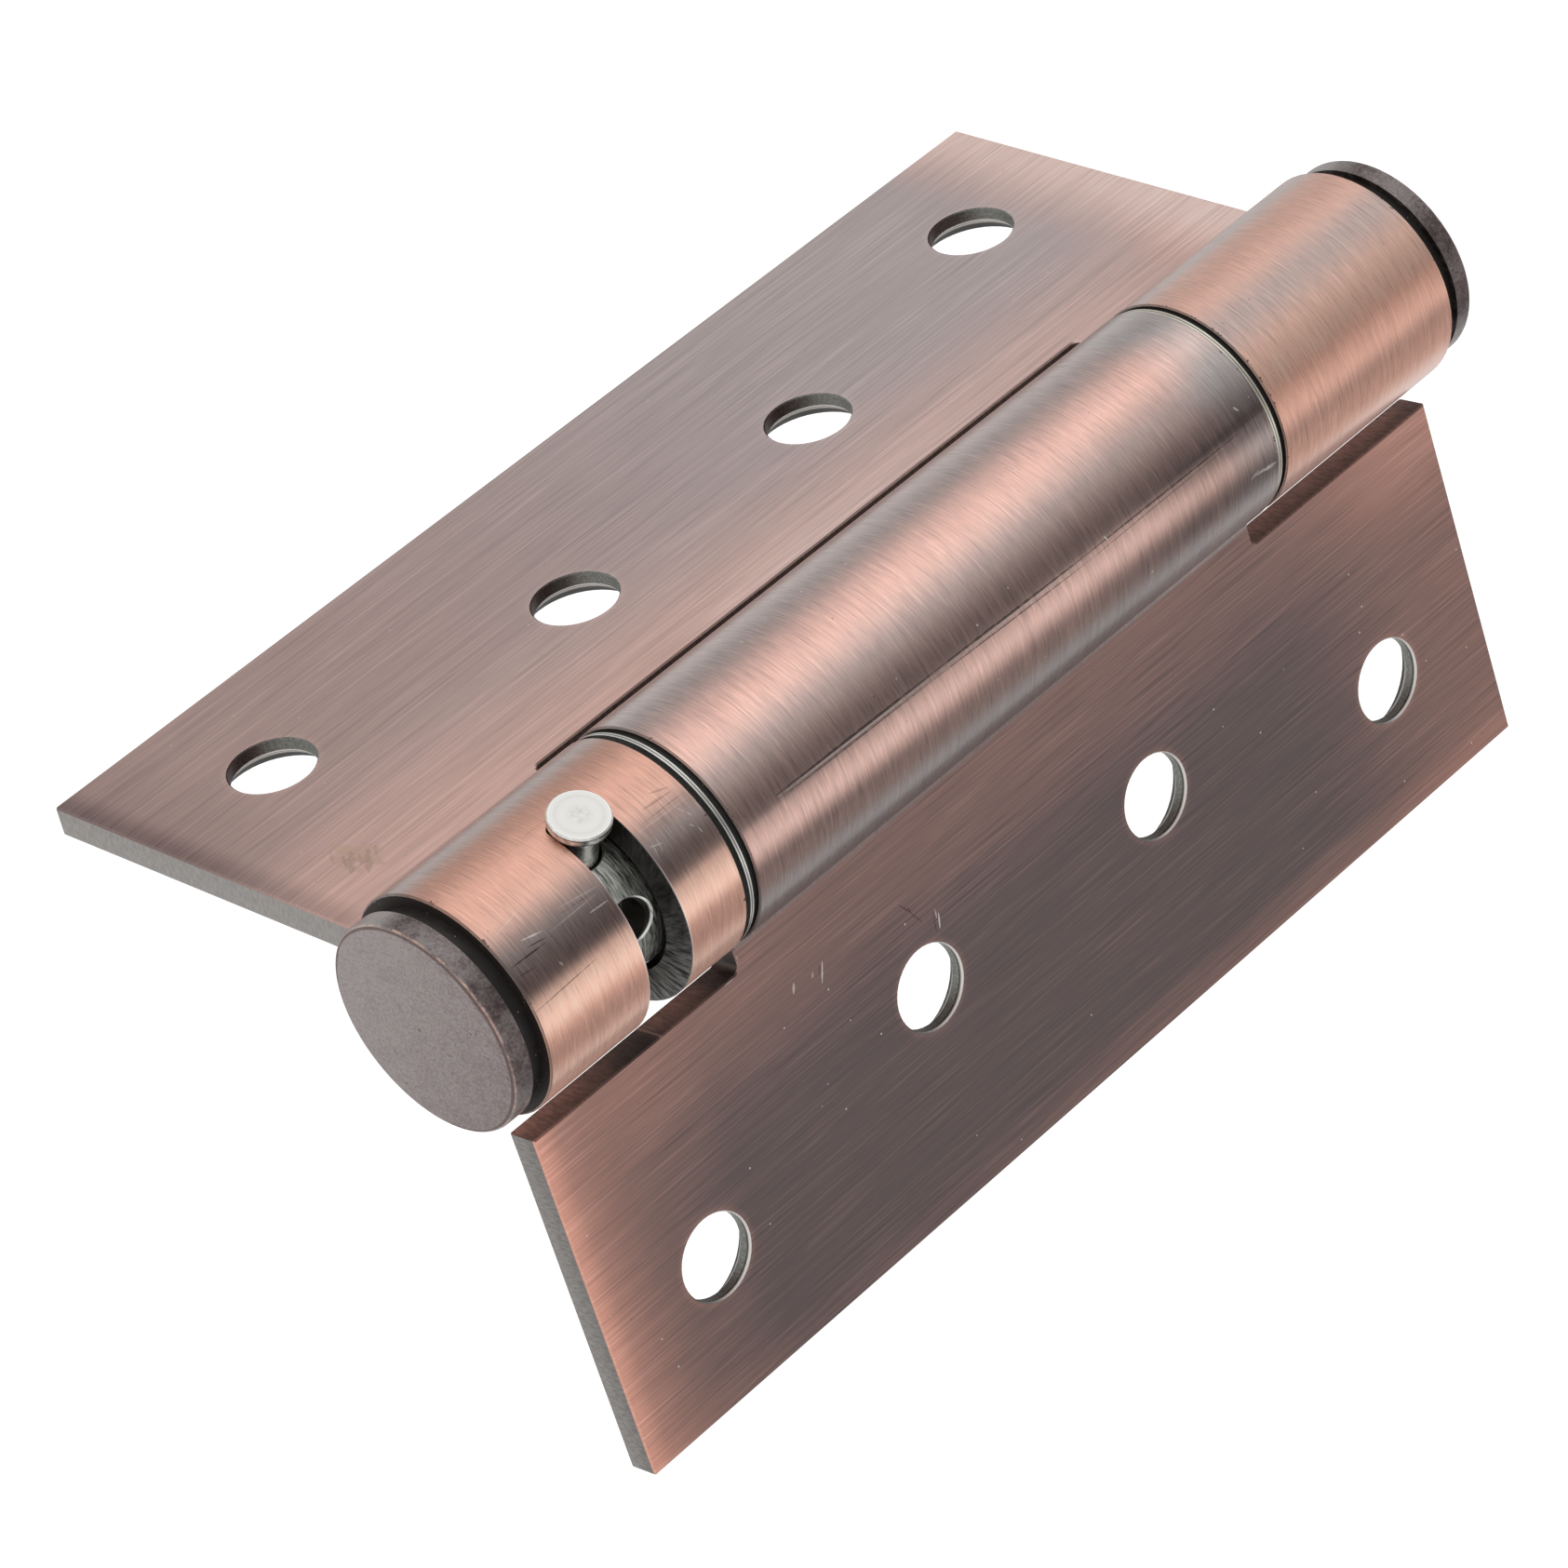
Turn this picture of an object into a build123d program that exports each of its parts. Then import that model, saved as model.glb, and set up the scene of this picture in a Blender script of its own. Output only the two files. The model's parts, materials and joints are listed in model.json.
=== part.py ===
"""Adjustable spring door hinge, 100 mm leaves, single acting.

Two leaves of rolled sheet turn about one vertical pin axis. The frame leaf carries the two end
knuckles, and the door leaf carries the long barrel between them. A torsion spring inside the barrel
closes the door. Its upper end is held by a spindle that shows through a slot in the top knuckle,
and a pin through the slot locks the spindle at the chosen tension.

Everything is first built round the pin axis, with the frame leaf along +X and its mounting face
towards -Y. It is then moved so that the origin lies on the frame leaf's mounting face, in the
middle of its four screw holes.
"""
from build123d import *
import math
import os

os.makedirs("parts", exist_ok=True)

# Leaves
leaf_length = 100.0
leaf_thickness = 2.5
leaf_reach = 40.75  # pin axis to the outer edge of a leaf
closed_gap = 2.0  # between the leaves when shut
knuckle_clearance = 1.6  # between a knuckle and the other leaf's edge beside it
notch_corner_radius = 0.6
edge_break = 0.14
opening_angle = 95.0  # angle between the leaves as modelled, 0 when closed

# Knuckles
knuckle_radius = 9.15
knuckle_length = 20.0
rim_break = 0.12  # on the knuckles' rims that face each other
swage_radius = 1.0  # bend between the mounting face and the knuckle
seam_gap = 0.3  # between the end of the roll and the back of the leaf

# Screw holes
screw_hole_diameter = 6.7
countersink_diameter = 9.2
countersink_angle = 82.0
screw_pitch = 25.8
end_hole_reach = 29.15  # pin axis to the two end holes
middle_hole_reach = 23.05  # pin axis to the two middle holes
hole_edge_break = 0.1  # on the mounting face

# Slot for the tension pin, in the top knuckle
slot_width = 4.4
slot_end_distance = 12.15  # knuckle's outer end to the middle of the slot
slot_arc = 165.0
slot_corner_radius = 0.8

# Spindle and tension pin
spindle_chamfer = 0.4
pin_hole_count = 6
pin_hole_diameter = 3.1
pin_hole_chamfer = 0.22
pin_hole_floor_radius = 3.35
pin_fit = 0.08  # radial, pin in its hole
pin_head_overlap = 0.13  # head past each side of the slot
pin_head_thickness = 0.8
pin_head_edge = 0.12
pin_head_lift = 0.12  # head above the knuckle
pin_end_gap = 0.2
arbor_length = 9.5
arbor_slot_clearance = 0.15

# Spring
wire_diameter = 2.4
coil_clearance = 0.45  # radial, coil in the barrel
arbor_clearance = 0.4  # radial, arbor in the coil
coil_pitch = 2.6
coil_end_gap = 2.2  # between the coil and the shoulder at each of its ends
spring_end_overhang = 3.0  # how far a spring end crosses the axis
bend_swell = 0.03  # the wire thickens where its end is bent in

# Bushes and washers
bush_wall = 0.45
bush_fit = 0.02  # bush or cap stem in a bore
running_clearance = 0.06  # radial, between a journal and its bush
thrust_gap = 0.03
knuckle_bush_flange = 0.45
barrel_bush_flange = 0.52
bush_flange_inset = 0.35  # below the knuckle's surface
bush_slot_gap = 0.65  # between the top knuckle's bush and the slot
near_washer_thickness = 0.35
far_washer_thickness = 0.4
washer_inset = 0.1  # below the knuckle's surface
washer_bore_clearance = 0.3

# Anchor plug
plug_body_length = 8.5
journal_end_gap = 0.3

# End caps
cap_inset = 0.55  # below the knuckle's surface
cap_thickness = 1.8
cap_edge_radius = 0.45
cap_shoulder_inset = 0.5  # below the cap's own rim
cap_shoulder_height = 1.25
cap_slot_gap = 0.95  # between the cap's stem and the slot
cap_stem_floor_distance = 4.0  # knuckle's outer end to the floor of the hollow stem
cap_stem_chamfer = 0.3

# Worked out from the values above
bore_radius = knuckle_radius - leaf_thickness
notch_reach = knuckle_radius + knuckle_clearance
back_face_offset = closed_gap / 2
leaf_offset = back_face_offset + leaf_thickness
half_length = leaf_length / 2
knuckle_inner_end = half_length - knuckle_length
near_stack = knuckle_bush_flange + near_washer_thickness + thrust_gap + barrel_bush_flange
far_stack = knuckle_bush_flange + thrust_gap + far_washer_thickness
barrel_top = knuckle_inner_end - near_stack
barrel_bottom = -knuckle_inner_end + far_stack
slot_height = half_length - slot_end_distance
sleeve_outer_radius = bore_radius - bush_fit
sleeve_inner_radius = sleeve_outer_radius - bush_wall
sleeve_length = knuckle_length - slot_end_distance - slot_width / 2 - bush_slot_gap
journal_radius = sleeve_inner_radius - running_clearance
pin_shank_radius = pin_hole_diameter / 2 - pin_fit
pin_clearance_angle = math.degrees(
    math.asin((pin_shank_radius + running_clearance) / bore_radius)
)
pin_angle = 180.0 + slot_arc / 2 - pin_clearance_angle
pin_travel = slot_arc - 2 * pin_clearance_angle
spindle_shoulder = barrel_top - sleeve_length - spindle_chamfer
plug_shoulder = barrel_bottom + plug_body_length
coil_radius = bore_radius - coil_clearance - wire_diameter / 2
arbor_radius = coil_radius - wire_diameter / 2 - arbor_clearance
coil_bottom = plug_shoulder + coil_end_gap + wire_diameter / 2
coil_top = spindle_shoulder - coil_end_gap - wire_diameter / 2
coil_height = coil_top - coil_bottom
coil_turns = coil_height / coil_pitch
hole_middle_reach = (end_hole_reach + middle_hole_reach) / 2
to_row_frame = Pos(-hole_middle_reach, leaf_offset, 0)


def polar(radius, angle):
    """A point at this distance and angle from the pin axis."""
    return radius * math.cos(math.radians(angle)), radius * math.sin(math.radians(angle))


def turned(points):
    """A solid of revolution about the pin axis, from its half outline of (radius, height) points."""
    outline = Polyline(*[(radius, 0, height) for radius, height in points], close=True)
    return revolve(make_face(outline), axis=Axis.Z)


def rolled_blank():
    """A flat leaf that bends into a rolled tube, at full length and with nothing cut away.

    The roll leaves the mounting face over a small bend, goes right round the bore and ends just
    short of the leaf's back, where it leaves a narrow seam.
    """
    bend_y = -(leaf_offset + swage_radius)
    bend_x = math.sqrt((knuckle_radius + swage_radius) ** 2 - bend_y**2)
    root_angle = math.degrees(math.atan2(bend_y, bend_x))
    seam_angle = math.degrees(math.asin((back_face_offset - seam_gap) / knuckle_radius))
    roll = 360.0 + root_angle + seam_angle
    bend = 90.0 + root_angle
    bend_centre = (bend_x, bend_y)
    edge = edge_break
    mounting_y = -leaf_offset
    back_y = -back_face_offset
    outline = [
        Line((leaf_reach - edge, mounting_y), (bend_x, mounting_y)),
        CenterArc(bend_centre, swage_radius, 90, bend),
        CenterArc((0, 0), knuckle_radius, root_angle, -roll),
        Line(polar(knuckle_radius, -seam_angle), polar(bore_radius, -seam_angle)),
        CenterArc((0, 0), bore_radius, -seam_angle, roll),
        CenterArc(bend_centre, swage_radius + leaf_thickness, 90 + bend, -bend),
        Line((bend_x, back_y), (leaf_reach - edge, back_y)),
        Line((leaf_reach - edge, back_y), (leaf_reach, back_y - edge)),
        Line((leaf_reach, back_y - edge), (leaf_reach, mounting_y + edge)),
        Line((leaf_reach, mounting_y + edge), (leaf_reach - edge, mounting_y)),
    ]
    blank = Pos(0, 0, -half_length) * extrude(make_face(outline), leaf_length)
    ends = blank.faces().sort_by(Axis.Z)
    return chamfer(ends[0].edges() + ends[-1].edges(), edge)


def notch(low, high):
    """Clears everything nearer the pin axis than the notch's edge, between two heights."""
    inner = -knuckle_radius - notch_reach
    width = notch_reach - inner
    middle = Pos((notch_reach + inner) / 2, 0, (low + high) / 2)
    window = RectangleRounded(width, high - low, notch_corner_radius)
    depth = knuckle_radius + 1
    return middle * extrude(Plane.XZ * window, depth, both=True)


def screw_hole():
    """A screw hole along Y, open on the mounting face and countersunk on the leaf's back."""
    hole = screw_hole_diameter / 2
    sink = countersink_diameter / 2
    cone_depth = (sink - hole) / math.tan(math.radians(countersink_angle / 2))
    over = leaf_thickness
    rim = hole_edge_break
    points = [
        (0, -leaf_offset - over),
        (hole + rim, -leaf_offset - over),
        (hole + rim, -leaf_offset),
        (hole, -leaf_offset + rim),
        (hole, -back_face_offset - cone_depth),
        (sink, -back_face_offset),
        (sink, -back_face_offset + over),
        (0, -back_face_offset + over),
    ]
    outline = Polyline(*[(radius, depth, 0) for radius, depth in points], close=True)
    return revolve(make_face(outline), axis=Axis.Y)


def screw_holes():
    """The four staggered screw holes of one leaf."""
    holes = []
    for step in (-1.5, -0.5, 0.5, 1.5):
        reach = end_hole_reach if abs(step) > 1 else middle_hole_reach
        holes.append(Pos(reach, 0, step * screw_pitch) * screw_hole())
    return holes


def pin_slot():
    """The slot round the side of the top knuckle that faces away from the leaf.

    Its end walls lie flat against the tension pin where the pin's travel stops.
    """
    inner = bore_radius - 1
    outer = knuckle_radius + 1
    half_gap = pin_shank_radius + running_clearance
    arc = pin_travel + 2 * math.degrees(math.asin(half_gap / (inner - 1)))
    section = Plane.XZ * Pos((inner + outer) / 2, 0) * Rectangle(outer - inner, slot_width)
    slot = Rot(0, 0, 180 - arc / 2) * revolve(section, axis=Axis.Z, revolution_arc=arc)
    size = knuckle_radius
    for side in (-1, 1):
        beyond = Pos(size, side * (half_gap + size / 2), 0) * Box(2 * size, size, 2 * slot_width)
        slot -= Rot(0, 0, 180 + side * pin_travel / 2) * beyond
    corners = [edge for edge in slot.edges().filter_by(GeomType.LINE) if abs((edge % 0.5).Z) < 0.5]
    return Pos(0, 0, slot_height) * fillet(corners, slot_corner_radius)


def break_rims(leaf, heights):
    """Takes the sharp corner off the outer rims of the knuckles at these heights."""
    rims = []
    for edge in leaf.edges().filter_by(GeomType.CIRCLE):
        on_surface = abs(edge.radius - knuckle_radius) < 0.001
        at_height = any(abs(edge.center().Z - height) < 0.001 for height in heights)
        if on_surface and at_height:
            rims.append(edge)
    return chamfer(rims, rim_break)


def frame_leaf():
    """The leaf screwed to the frame, with the two end knuckles."""
    leaf = rolled_blank() - notch(-knuckle_inner_end, knuckle_inner_end)
    leaf = break_rims(leaf, (-knuckle_inner_end, knuckle_inner_end))
    leaf -= screw_holes()
    return leaf - pin_slot()


def door_leaf():
    """The leaf screwed to the door, with the long barrel, turned to the opening angle."""
    leaf = mirror(rolled_blank(), about=Plane.XZ)
    leaf -= notch(barrel_top, half_length + knuckle_length)
    leaf -= notch(-half_length - knuckle_length, barrel_bottom)
    leaf = break_rims(leaf, (barrel_bottom, barrel_top))
    leaf -= [mirror(hole, about=Plane.XZ) for hole in screw_holes()]
    return Rot(0, 0, opening_angle) * leaf


def arbor_slot(slot_floor, tip, angle):
    """The slot across an arbor's end that holds one end of the spring."""
    width = wire_diameter + 2 * arbor_slot_clearance
    height = abs(tip - slot_floor)
    middle = Pos(0, 0, (tip + slot_floor) / 2) * Rot(0, 0, angle)
    return middle * Box(2 * arbor_radius + 1, width, height)


def adjusting_spindle():
    """The turned spindle in the top knuckle and the top of the barrel."""
    top = half_length - cap_stem_floor_distance - journal_end_gap
    tip = spindle_shoulder - arbor_length
    radius = journal_radius
    arbor = arbor_radius
    spindle = turned([
        (0, top),
        (radius - spindle_chamfer, top),
        (radius, top - spindle_chamfer),
        (radius, spindle_shoulder + spindle_chamfer),
        (radius - spindle_chamfer, spindle_shoulder),
        (arbor, spindle_shoulder),
        (arbor, tip + spindle_chamfer),
        (arbor - spindle_chamfer, tip),
        (0, tip),
    ])
    for index in range(pin_hole_count):
        turn = Rot(0, 0, pin_angle + index * 360 / pin_hole_count)
        spindle -= Pos(0, 0, slot_height) * turn * pin_hole()
    slot_floor = coil_top + wire_diameter / 2 + arbor_slot_clearance
    return spindle - arbor_slot(slot_floor, tip - 1, 360 * coil_turns)


def pin_hole():
    """A blind hole along X into the spindle, with a chamfered mouth."""
    radius = pin_hole_diameter / 2
    surface = journal_radius
    mouth = surface - pin_hole_chamfer * 2
    flare = surface + 1
    points = [
        (pin_hole_floor_radius, 0),
        (pin_hole_floor_radius, radius),
        (mouth, radius),
        (flare, radius + flare - mouth),
        (flare, 0),
    ]
    return revolve(make_face(Polyline(*points, close=True)), axis=Axis.X)


def tension_pin():
    """The headed pin that locks the spindle against the end of the slot."""
    under_head = knuckle_radius + pin_head_lift
    top = under_head + pin_head_thickness
    shank = pin_shank_radius
    head = slot_width / 2 + pin_head_overlap
    end = pin_hole_floor_radius + pin_end_gap
    points = [
        (end, 0),
        (end, shank - pin_head_edge),
        (end + pin_head_edge, shank),
        (under_head, shank),
        (under_head, head - pin_head_edge),
        (under_head + pin_head_edge, head),
        (top - pin_head_edge, head),
        (top, head - pin_head_edge),
        (top, 0),
    ]
    pin = revolve(make_face(Polyline(*points, close=True)), axis=Axis.X)
    return Pos(0, 0, slot_height) * Rot(0, 0, pin_angle) * pin


def spring_end(height, angle):
    """The straight end of the wire, bent in from the coil and across the axis."""
    length = coil_radius + spring_end_overhang
    middle = Pos((coil_radius - spring_end_overhang) / 2, 0, 0)
    wire = middle * Rot(0, 90, 0) * Cylinder(wire_diameter / 2, length)
    elbow = Pos(coil_radius, 0, 0) * Sphere(wire_diameter / 2 + bend_swell)
    return Pos(0, 0, height) * Rot(0, 0, angle) * (wire + elbow)


def torsion_spring():
    """The close-wound torsion spring between the spindle and the anchor plug."""
    path = Helix(coil_pitch, coil_height, coil_radius)
    section = Plane(origin=path @ 0, z_dir=path % 0) * Circle(wire_diameter / 2)
    coil = Pos(0, 0, coil_bottom) * sweep(section, path=path, is_frenet=True)
    return coil + spring_end(coil_bottom, 0) + spring_end(coil_top, 360 * coil_turns)


def anchor_plug():
    """The plug fixed in the bottom of the barrel, with the journal that turns in the lower knuckle."""
    body_top = plug_shoulder
    tip = body_top + arbor_length
    end = -half_length + cap_stem_floor_distance + journal_end_gap
    journal = journal_radius
    arbor = arbor_radius
    plug = turned([
        (0, tip),
        (arbor - spindle_chamfer, tip),
        (arbor, tip - spindle_chamfer),
        (arbor, body_top),
        (sleeve_outer_radius - spindle_chamfer, body_top),
        (sleeve_outer_radius, body_top - spindle_chamfer),
        (sleeve_outer_radius, barrel_bottom),
        (journal, barrel_bottom),
        (journal, end + spindle_chamfer),
        (journal - spindle_chamfer, end),
        (0, end),
    ])
    slot_floor = coil_bottom - wire_diameter / 2 - arbor_slot_clearance
    return plug - arbor_slot(slot_floor, tip + 1, 0)


def flanged_bush(face, flange, direction):
    """A nylon bush: its sleeve goes into a bore from the face, and its flange stands out of it."""
    sleeve_end = face + direction * sleeve_length
    flange_end = face - direction * flange
    rim = knuckle_radius - bush_flange_inset
    return turned([
        (sleeve_inner_radius, flange_end),
        (rim, flange_end),
        (rim, face),
        (sleeve_outer_radius, face),
        (sleeve_outer_radius, sleeve_end),
        (sleeve_inner_radius, sleeve_end),
    ])


def washer(bottom, thickness):
    """A flat steel thrust washer."""
    hole = journal_radius + washer_bore_clearance
    rim = knuckle_radius - washer_inset
    return turned([
        (hole, bottom),
        (rim, bottom),
        (rim, bottom + thickness),
        (hole, bottom + thickness),
    ])


def end_cap():
    """The cap pressed into the top knuckle: a thick disc, a small shoulder and a hollow stem."""
    seat = half_length
    disc = seat + cap_shoulder_height
    top = disc + cap_thickness
    radius = knuckle_radius - cap_inset
    shoulder = radius - cap_shoulder_inset
    stem_end = seat - slot_end_distance + slot_width / 2 + cap_slot_gap
    floor = seat - cap_stem_floor_distance
    cap = turned([
        (0, top),
        (radius, top),
        (radius, disc),
        (shoulder, disc),
        (shoulder, seat),
        (sleeve_outer_radius, seat),
        (sleeve_outer_radius, stem_end + cap_stem_chamfer),
        (sleeve_outer_radius - cap_stem_chamfer, stem_end),
        (sleeve_inner_radius, stem_end),
        (sleeve_inner_radius, floor),
        (0, floor),
    ])
    rim = cap.edges().filter_by(GeomType.CIRCLE).group_by(Axis.Z)[-1]
    return fillet(rim, cap_edge_radius)


near_washer_bottom = barrel_top + barrel_bush_flange + thrust_gap
nodes = {
    "frame_leaf": frame_leaf(),
    "door_leaf": door_leaf(),
    "adjusting_spindle": adjusting_spindle(),
    "tension_pin": tension_pin(),
    "torsion_spring": torsion_spring(),
    "anchor_plug": anchor_plug(),
    "top_knuckle_bush": flanged_bush(knuckle_inner_end, knuckle_bush_flange, 1),
    "top_thrust_washer": washer(near_washer_bottom, near_washer_thickness),
    "barrel_bush": flanged_bush(barrel_top, barrel_bush_flange, -1),
    "bottom_thrust_washer": washer(barrel_bottom - far_washer_thickness, far_washer_thickness),
    "bottom_knuckle_bush": flanged_bush(-knuckle_inner_end, knuckle_bush_flange, -1),
    "top_end_cap": end_cap(),
    "bottom_end_cap": mirror(end_cap(), about=Plane.XY),
}
for name, solid in nodes.items():
    export_step(to_row_frame * solid, f"parts/{name}.step")

axis_x, axis_y = -hole_middle_reach, leaf_offset
print(f"pin axis at x {axis_x:.3f}, y {axis_y:.3f}")
print(f"tension pin at {pin_angle:.2f} degrees, turns {pin_travel:.2f} degrees")
print(f"barrel from {barrel_bottom:.2f} to {barrel_top:.2f}, slot at {slot_height:.2f}")
print(f"coil from {coil_bottom:.2f} to {coil_top:.2f}, spindle shoulder at {spindle_shoulder:.2f}")
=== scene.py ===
# %% [markdown]
# # A spring loaded door hinge
#
# The real object is two leaves of rolled sheet steel, plated with antique copper and then brushed.
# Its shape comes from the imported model, which is loaded as a fixed frame. This file gives each
# piece its finish, and sets up the camera and the light.
#
# Everything is in metres. The pin axis stands upright, and the slotted knuckle is at the top.

# %% Load the frame
import json
import math

import bmesh
import bpy
from mathutils import Matrix, Vector


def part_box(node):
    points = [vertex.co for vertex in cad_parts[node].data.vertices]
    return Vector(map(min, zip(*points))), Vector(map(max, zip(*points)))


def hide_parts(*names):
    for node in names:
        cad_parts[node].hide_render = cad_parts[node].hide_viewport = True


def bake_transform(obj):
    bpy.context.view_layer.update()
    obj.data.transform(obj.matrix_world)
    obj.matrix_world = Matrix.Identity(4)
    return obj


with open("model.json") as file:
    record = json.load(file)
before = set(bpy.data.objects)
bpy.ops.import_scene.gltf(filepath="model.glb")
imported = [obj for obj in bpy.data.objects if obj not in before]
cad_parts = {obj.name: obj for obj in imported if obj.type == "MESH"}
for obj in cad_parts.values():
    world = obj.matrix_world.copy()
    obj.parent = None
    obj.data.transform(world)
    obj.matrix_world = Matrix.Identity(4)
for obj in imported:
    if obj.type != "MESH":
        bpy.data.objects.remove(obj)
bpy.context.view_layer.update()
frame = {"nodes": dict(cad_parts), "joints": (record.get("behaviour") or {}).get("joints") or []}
print("nodes:", sorted(frame["nodes"]))

# %% [markdown]
# ## Sizes that the finishes need
#
# A brushed finish follows the way a piece was polished, so the materials must know where the pin
# axis is, how far a leaf reaches and where its holes are. All of it can be read from the frame:
# the joints give the pin axis, and the boxes of the nodes give the rest.

# %% Read the sizes
MM = 0.001
joints = {joint["name"]: joint for joint in frame["joints"]}
pin_axis = Vector(joints["leaf_hinge"]["pos_m"])
frame_low, frame_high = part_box("frame_leaf")
leaf_reach = frame_high.x - pin_axis.x
knuckle_radius = pin_axis.x - frame_low.x
door_turn = math.radians(-joints["leaf_hinge"]["range_deg"][0])
frame_direction = Vector((1, 0, 0))
frame_normal = Vector((0, -1, 0))
door_direction = Vector((math.cos(door_turn), math.sin(door_turn), 0))
door_normal = Vector((-math.sin(door_turn), math.cos(door_turn), 0))
slot_height = joints["spindle_turn"]["pos_m"][2]
pin_direction = Vector(joints["pin_pull"]["axis"])
knuckle_mm = knuckle_radius / MM
slot_mm = slot_height / MM
print(f"knuckle radius {knuckle_mm:.2f} mm, leaf reach {leaf_reach / MM:.2f} mm")
print(f"leaves stand {math.degrees(door_turn):.0f} degrees apart")

# %% [markdown]
# ## Camera
#
# The photograph looks down on the hinge from the slotted end with a long lens, and is turned so that
# the pin axis runs from lower left to upper right. A camera in Blender looks along its own -Z, with
# +Y up, so its rotation is built from those two directions.

# %% Place the camera
eye = Vector((-340.5, -267.2, 270.3)) * MM
look = Vector((0.6443, 0.5614, -0.5193)).normalized()
picture_up = Vector((0.2633, -0.8004, -0.5386))
picture_right = look.cross(picture_up).normalized()
picture_up = picture_right.cross(look)

lens_data = bpy.data.cameras.new("photo_camera")
lens_data.lens = 156.93
lens_data.sensor_width = 36
camera = bpy.data.objects.new("photo_camera", lens_data)
bpy.context.scene.collection.objects.link(camera)
camera.matrix_world = Matrix((
    (picture_right.x, picture_up.x, -look.x, eye.x),
    (picture_right.y, picture_up.y, -look.y, eye.y),
    (picture_right.z, picture_up.z, -look.z, eye.z),
    (0, 0, 0, 1),
))
bpy.context.scene.camera = camera
bpy.context.scene.view_settings.view_transform = "Standard"
print("camera at", [round(value, 3) for value in eye], "lens", lens_data.lens)

# %% [markdown]
# ## Small helpers for node trees
#
# Every finish here is a tree of shader nodes. These helpers add one node, and set or link its inputs
# in the same line, so that a material reads from top to bottom like a recipe.

# %% Node helpers
def plug(tree, socket, value):
    """Links a socket if it is given one, and otherwise sets the value."""
    if isinstance(value, bpy.types.NodeSocket):
        tree.links.new(value, socket)
    elif isinstance(value, Vector):
        socket.default_value = value[:]
    else:
        socket.default_value = value


def node(tree, kind, inputs=None, **settings):
    """Adds a node, changes its settings and fills its inputs."""
    made = tree.nodes.new(kind)
    for key, value in settings.items():
        setattr(made, key, value)
    for key, value in (inputs or {}).items():
        plug(tree, made.inputs[key], value)
    return made


def maths(tree, operation, first, second=0.0, third=0.0, clamp=False):
    inputs = {0: first, 1: second, 2: third}
    made = node(tree, "ShaderNodeMath", inputs, operation=operation, use_clamp=clamp)
    return made.outputs[0]


def apart(tree, first, second):
    """How far two values lie from each other."""
    return maths(tree, "ABSOLUTE", maths(tree, "SUBTRACT", first, second))


def vector_maths(tree, operation, first, second=(0, 0, 0), output="Vector"):
    made = node(tree, "ShaderNodeVectorMath", {0: first, 1: second}, operation=operation)
    return made.outputs[output]


def fade(tree, value, start, end, low=0.0, high=1.0):
    """Goes smoothly from low to high while the value goes from start to end."""
    inputs = {"Value": value, "From Min": start, "From Max": end, "To Min": low, "To Max": high}
    made = node(tree, "ShaderNodeMapRange", inputs, interpolation_type="SMOOTHSTEP")
    return made.outputs["Result"]


def mix(tree, factor, first, second, blend="MIX"):
    made = node(tree, "ShaderNodeMix", data_type="RGBA", blend_type=blend)
    plug(tree, made.inputs["Factor"], factor)
    plug(tree, made.inputs[6], first)
    plug(tree, made.inputs[7], second)
    return made.outputs[2]


def blend_values(tree, factor, first, second):
    made = node(tree, "ShaderNodeMix", data_type="FLOAT")
    for socket, value in ((0, factor), (2, first), (3, second)):
        plug(tree, made.inputs[socket], value)
    return made.outputs[0]


def colour(red, green, blue):
    return (red, green, blue, 1.0)


def noise(tree, vector, scale, detail=2.0, roughness=0.5):
    inputs = {"Vector": vector, "Scale": scale, "Detail": detail, "Roughness": roughness}
    return node(tree, "ShaderNodeTexNoise", inputs).outputs["Fac"]


def new_group(name, inputs, outputs):
    """An empty shader node group with named sockets, and its input and output nodes."""
    tree = bpy.data.node_groups.new(name, "ShaderNodeTree")
    for in_out, sockets in (("INPUT", inputs), ("OUTPUT", outputs)):
        for label, kind in sockets.items():
            socket_type = "NodeSocket" + kind
            tree.interface.new_socket(label, in_out=in_out, socket_type=socket_type)
    return tree, tree.nodes.new("NodeGroupInput"), tree.nodes.new("NodeGroupOutput")


def place(tree, group, **inputs):
    """Puts a node group into a tree. An underscore stands for a space in a socket's name."""
    made = tree.nodes.new("ShaderNodeGroup")
    made.node_tree = group
    for key, value in inputs.items():
        plug(tree, made.inputs[key.replace("_", " ")], value)
    return made.outputs


def new_material(name):
    """A material with a Principled shader, its node tree and that shader."""
    material = bpy.data.materials.new(name)
    material.use_nodes = True
    tree = material.node_tree
    tree.nodes.clear()
    output = tree.nodes.new("ShaderNodeOutputMaterial")
    shader = tree.nodes.new("ShaderNodeBsdfPrincipled")
    tree.links.new(shader.outputs["BSDF"], output.inputs["Surface"])
    return material, tree, shader


print("helpers ready")

# %% [markdown]
# ## Where a point is on the hinge
#
# A leaf is brushed along the pin axis, and a knuckle is brushed round it. One group turns the place
# of each shaded point into hinge coordinates, in millimetres: how far it lies from the pin axis, how
# far along the leaf, how high, and how far off the axis plane towards the mounting face. Turn is the
# angle round the pin axis as a share of a full turn, 0.5 where the mounting face is. The object's
# own coordinates are used, so the finish stays on the metal when the hinge turns.

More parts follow.
